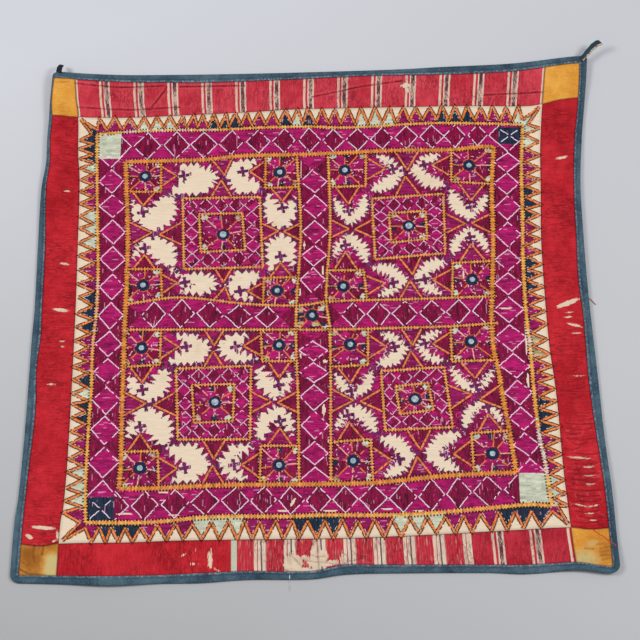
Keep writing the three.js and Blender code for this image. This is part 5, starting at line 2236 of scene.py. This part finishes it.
def diamond_outline(touch, number, low, high, level, uneven, random):
    """The corners of one diamond of a row between two lines, by the places where the row's diamonds touch."""
    corners = []
    for count, height in DIAMOND_CORNERS:
        at = float(touch(number + count)) + random.normal(0, uneven[0])
        across = float(between(low, high, height)(at)) + random.normal(0, uneven[1])
        corners.append((at, across) if level else (across, at))
    return corners


def band_lines(band):
    """The two lines that a row of diamonds lies between, and whether it runs level."""
    if band in inner:
        return inner[band], outer[band], band in LEVEL_SIDES
    if band in ("arm_left", "arm_right"):
        return cross["bottom"], cross["top"], True
    return cross["left"], cross["right"], False


def band_outline(band, random):
    """The sides of the diamonds in a row that almost touch, the end ones cut short."""
    low, high, level = band_lines(band)
    first, final = OUTLINE_RUNS[band]
    sides = []
    for number in range(math.floor(first), math.ceil(final)):
        corners = diamond_outline(touch_at[band], number, low, high, level, BAND_UNEVEN, random)
        inside = [first <= number + count <= final for count, _ in DIAMOND_CORNERS]
        sides += [corners[k:k + 2] for k in range(4) if inside[k] and inside[k + 1]]
    return sides


def small_outlines(name, random):
    """The sides of the diamonds round a quarter's middle square."""
    quarter = QUARTERS[name]
    rim, heart = middle_lines(quarter["middle"]), middle_lines(quarter["heart"])
    diamonds = quarter["small_diamonds"]
    top_left, top_right, bottom_right, bottom_left = quarter["middle"]
    ends = {
        "left": (bottom_left, top_left), "right": (bottom_right, top_right),
        "bottom": (bottom_left, bottom_right), "top": (top_left, top_right),
    }
    sides = []
    for side, (start, end) in ends.items():
        level = side in LEVEL_SIDES

        def touch(count):
            return lerp(start, end, count / diamonds)[0 if level else 1]

        for number in range(0 if level else 1, diamonds if level else diamonds - 1):
            corners = diamond_outline(touch, number, heart[side], rim[side], level, SMALL_UNEVEN, random)
            sides += list(zip(corners, corners[1:]))
    return sides


def make_outlines():
    """White lines round the diamonds, large and small, and across the dark corner squares."""
    stitches = Stitches(53)
    for band in OUTLINE_RUNS:
        for start, end in band_outline(band, stitches.random):
            back_stitches(stitches, [start, end], OUTLINE_WIDTH, OUTLINE_WHITE, kept_share=0.84, length=5.0)
    for name in QUARTERS:
        for start, end in small_outlines(name, stitches.random):
            ends = [start, end]
            back_stitches(stitches, ends, SMALL_OUTLINE_WIDTH, OUTLINE_PINK, kept_share=0.74, length=4.0)
    for name in ("top_right", "bottom_left"):
        left, right, bottom, top, _ = BAND_CORNERS[name]
        middle = ((left + right) / 2, (bottom + top) / 2)
        arms = ((left + 5, bottom + 4), (right - 6, top - 6), (left + 5, top - 5), (right - 6, bottom + 5))
        for tip in arms:
            ends = [lerp(middle, tip, 0.16), tip]
            back_stitches(stitches, ends, OUTLINE_WIDTH, OUTLINE_WHITE, kept_share=0.9)
    return stitches.table()


POINT_ROPE_WIDTH = 3.4

# Dark stitches along both edges of a point: (width, colour), how far off, and (length, share kept, lift)
POINT_EDGE = (1.3, EDGE_BLACK)
POINT_EDGE_OFF = 2.1
POINT_EDGE_STITCH = (2.4, 0.55, 0.5)

SPOKE_WIDTH = 2.1
SPOKE_WANDER = 0.1


def make_tracery():
    """The orange outlines of the points, and the spokes from each mirror."""
    stitches = Stitches(54)
    for name, quarter in QUARTERS.items():
        for foot, tip, other_foot in quarter_points(name):
            for start, end in ((foot, tip), (tip, other_foot)):
                rope(stitches, [start, end], POINT_ROPE_WIDTH, POINT_ORANGE)
                for off in (-POINT_EDGE_OFF, POINT_EDGE_OFF):
                    back_stitches(stitches, [start, end], *POINT_EDGE, off, *POINT_EDGE_STITCH)
        runs = leaf_runs(name)
        for point, by_middle, by_ladder in zip(quarter_points(name), runs[::2], runs[1::2]):
            flecks(stitches, [by_ladder[0], by_ladder[2], by_middle[0], point[1]], quarter["flecks"])
        for corners, mirror in zip([*corner_squares(name), quarter["heart"]], MIRRORS[name]):
            flecks(stitches, corners, FLECKS)
            spokes(stitches, corners, mirror)
    spokes(stitches, cross_square(), (0, 0))
    return stitches.table()


def spokes(stitches, corners, middle):
    wander = stitches.random.normal(0, SPOKE_WANDER, SPOKES)
    for k in range(SPOKES):
        angle = k * 2 * math.pi / SPOKES + wander[k]
        reach = ray_to_side(corners, middle, angle)
        ends = [polar(middle, SPOKE_START, angle), polar(middle, reach - 1, angle)]
        colour = SPOKE_ORANGE if k % 3 else SPOKE_PINK
        back_stitches(stitches, ends, SPOKE_WIDTH, colour, length=4.0, kept_share=0.86)


FLECKS = 26
FLECK_PINK = (246, 206, 226)
FLECK_LENGTHS = (2.2, 4.6)
FLECK_WIDTH = 1.3


def flecks(stitches, corners, count):
    """Short pale stitches scattered over a four-cornered shape."""
    top_left, top_right, bottom_right, bottom_left = np.array(corners, float)
    s, t = stitches.random.uniform(0.08, 0.92, (2, count, 1))
    places = (top_left * (1 - s) + top_right * s) * t + (bottom_left * (1 - s) + bottom_right * s) * (1 - t)
    turn = stitches.random.choice([0, math.pi / 4, math.pi / 2, -math.pi / 4], count)
    length = stitches.random.uniform(*FLECK_LENGTHS, count)
    stitches.add(places[:, 0], places[:, 1], turn, length, FLECK_WIDTH, FLECK_PINK, 0.35, spread=0.12)


RING_STITCHES = 34
RING_INSIDE = 4.9
HEART_RING_INSIDE = 6.1
RING_OUTSIDE = 10.4
RING_STITCH_WIDTH = 2.3
RING_EDGE_STITCH = (1.5, 1.3)
HALO_GAP = 1.5


def make_rings():
    """Dark buttonhole stitches that hold each mirror, from the ground up over its rim."""
    stitches = Stitches(55)
    hearts = [quarter[4] for quarter in MIRRORS.values()]
    places = [mirror for quarter in MIRRORS.values() for mirror in quarter] + [(0, 0)]
    angle = np.arange(RING_STITCHES) * 2 * math.pi / RING_STITCHES
    climb = MIRROR_TOP + 0.1 - FIELD_THICKNESS
    for mirror in places:
        ring_inside = HEART_RING_INSIDE if mirror in hearts else RING_INSIDE
        uneven = stitches.random.uniform(0.95, 1.05, RING_STITCHES)
        for low, high, lift, slope in (
            (MIRROR_RADIUS, RING_OUTSIDE, climb / 2, -climb / (RING_OUTSIDE - MIRROR_RADIUS)),
            (ring_inside, MIRROR_RADIUS + 0.4, climb, 0.0),
        ):
            length = high - low + 0.6
            middle = polar(mirror, (low + high) / 2 * uneven, angle)
            stitches.add(*middle, angle, length, RING_STITCH_WIDTH, RING_NAVY, lift, slope, spread=0.3)
        inside = polar(mirror, ring_inside + 0.5, angle)
        stitches.add(*inside, angle + math.pi / 2, *RING_EDGE_STITCH, RING_NAVY, climb + 0.1, spread=0.2)
        circle = np.stack(polar(mirror, RING_OUTSIDE + HALO_GAP, angle), axis=1)
        back_stitches(stitches, [*circle, circle[0]], 1.3, SPOKE_ORANGE, length=2.6, kept_share=0.5, lift=0.3)
    return stitches.table()


# Threads that lie loose over the border and past its edge: (colour, points)
LOOSE_THREADS = [
    ((216, 58, 34), [(434, -359), (447, -369), (459, -379), (467, -386)]),
    ((150, 74, 72), [(451, 33), (457, 27), (463, 20)]),
    ((214, 213, 211), [(-33, -431), (-34, -443), (-33, -454)]),
]
ON_BINDING = 14
LOOSE_THREAD_WIDTH = 1.3
FLOOR_LIFT = 0.3


def border_face(x, y):
    """The height at which a loose thread lies: on the border cloth, on the binding or on the floor."""
    inside = inside_by(edge, x, y)
    on_binding = fold_height(x, y) + BINDING_HEIGHT + BINDING_CROWN
    return np.where(inside < 0, FLOOR_LIFT, np.where(inside < ON_BINDING, on_binding, strip_top(x, y)))


def make_loose_threads():
    stitches = Stitches(56)
    for colour, points in LOOSE_THREADS:
        back_stitches(stitches, points, LOOSE_THREAD_WIDTH, colour, 0.0, 3.0, 1.0, 0.2)
    return stitches.table()


def make_embroidery(floss):
    satin = satin_stitches(make_chart())
    pieces = []
    for row, above in (("top", True), ("bottom", False)):
        for column, rightward in (("left", False), ("right", True)):
            part = satin[((satin[:, 1] > 0) == above) & ((satin[:, 0] > 0) == rightward)]
            pieces.append(stitched_piece(f"floss_{row}_{column}", part, floss))
    tables = {
        "ladder_lines": make_ladders(), "zigzag_lines": make_zigzags(), "white_outlines": make_outlines(),
        "orange_tracery": make_tracery(), "mirror_rings": make_rings(),
    }
    pieces += [stitched_piece(name, table, floss) for name, table in tables.items()]
    return pieces


# Mirrors, floor, light and camera

def dress_mirrors():
    """The mirrors keep their solids and get the look of old glass."""
    glass = mirror_finish()
    for name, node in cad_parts.items():
        if name.startswith("mirror_"):
            node.data.materials.clear()
            node.data.materials.append(glass)


FLOOR_HALF = 4.0
FLOOR_DROP = 0.3


def make_floor():
    mesh = bpy.data.meshes.new("floor")
    low, high, below = -FLOOR_HALF, FLOOR_HALF, -FLOOR_DROP * MM
    corners = [(low, low, below), (high, low, below), (high, high, below), (low, high, below)]
    mesh.from_pydata(corners, [], [(0, 1, 2, 3)])
    mesh.materials.append(floor_finish())
    floor = bpy.data.objects.new("floor", mesh)
    bpy.context.scene.collection.objects.link(floor)


WORLD_COLOUR = (236, 240, 248)
WORLD_STRENGTH = 0.42
LAMP_PLACES = {"left lamp": (-2.3, 0.1, 2.6), "right lamp": (2.3, 0.0, 2.6)}
LAMP_SIZE = 1.2
LAMP_POWER = 46


def soft_light(name, place):
    """A round lamp that is aimed at the middle of the cloth."""
    lamp = bpy.data.lights.new(name, "AREA")
    lamp.shape = "DISK"
    lamp.size = LAMP_SIZE
    lamp.energy = LAMP_POWER
    light = bpy.data.objects.new(name, lamp)
    light.location = place
    bpy.context.scene.collection.objects.link(light)
    x, y, z = place
    light.rotation_euler = (math.atan2(math.hypot(x, y), z), 0, math.atan2(y, x) + math.pi / 2)


def light_scene():
    world = bpy.data.worlds.new("studio")
    world.use_nodes = True
    background = world.node_tree.nodes["Background"]
    background.inputs["Color"].default_value = rgba(WORLD_COLOUR)
    background.inputs["Strength"].default_value = WORLD_STRENGTH
    bpy.context.scene.world = world
    for name, place in LAMP_PLACES.items():
        soft_light(name, place)
    bpy.context.scene.view_settings.view_transform = "Standard"


def place_camera():
    data = bpy.data.cameras.new("camera")
    data.lens = CAMERA_LENS
    camera = bpy.data.objects.new("camera", data)
    x, y, z = CAMERA_TARGET
    back = CAMERA_DISTANCE * math.cos(CAMERA_ELEVATION)
    camera.location = (x, y - back, z + CAMERA_DISTANCE * math.sin(CAMERA_ELEVATION))
    camera.rotation_euler = (math.pi / 2 - CAMERA_ELEVATION, 0, 0)
    bpy.context.scene.collection.objects.link(camera)
    bpy.context.scene.camera = camera


place_camera()
light_scene()
make_floor()
make_border_cloth()
floss = floss_finish()
make_field(make_embroidery(floss))
stitched_piece("loose_threads", make_loose_threads(), floss, border_face)
indigo = binding_finish()
for bound_side in (*UPRIGHT_SIDES, *LEVEL_SIDES):
    binding_side(bound_side, indigo)
# The left tab's darker tape is partly painted shade.
make_tab("left", tab_finish("dark tape in painted shade", DARK_TAPE_IN_SHADE))
make_tab("right", tab_finish("dark printed tape", PRINTED_TAPE))
dress_mirrors()
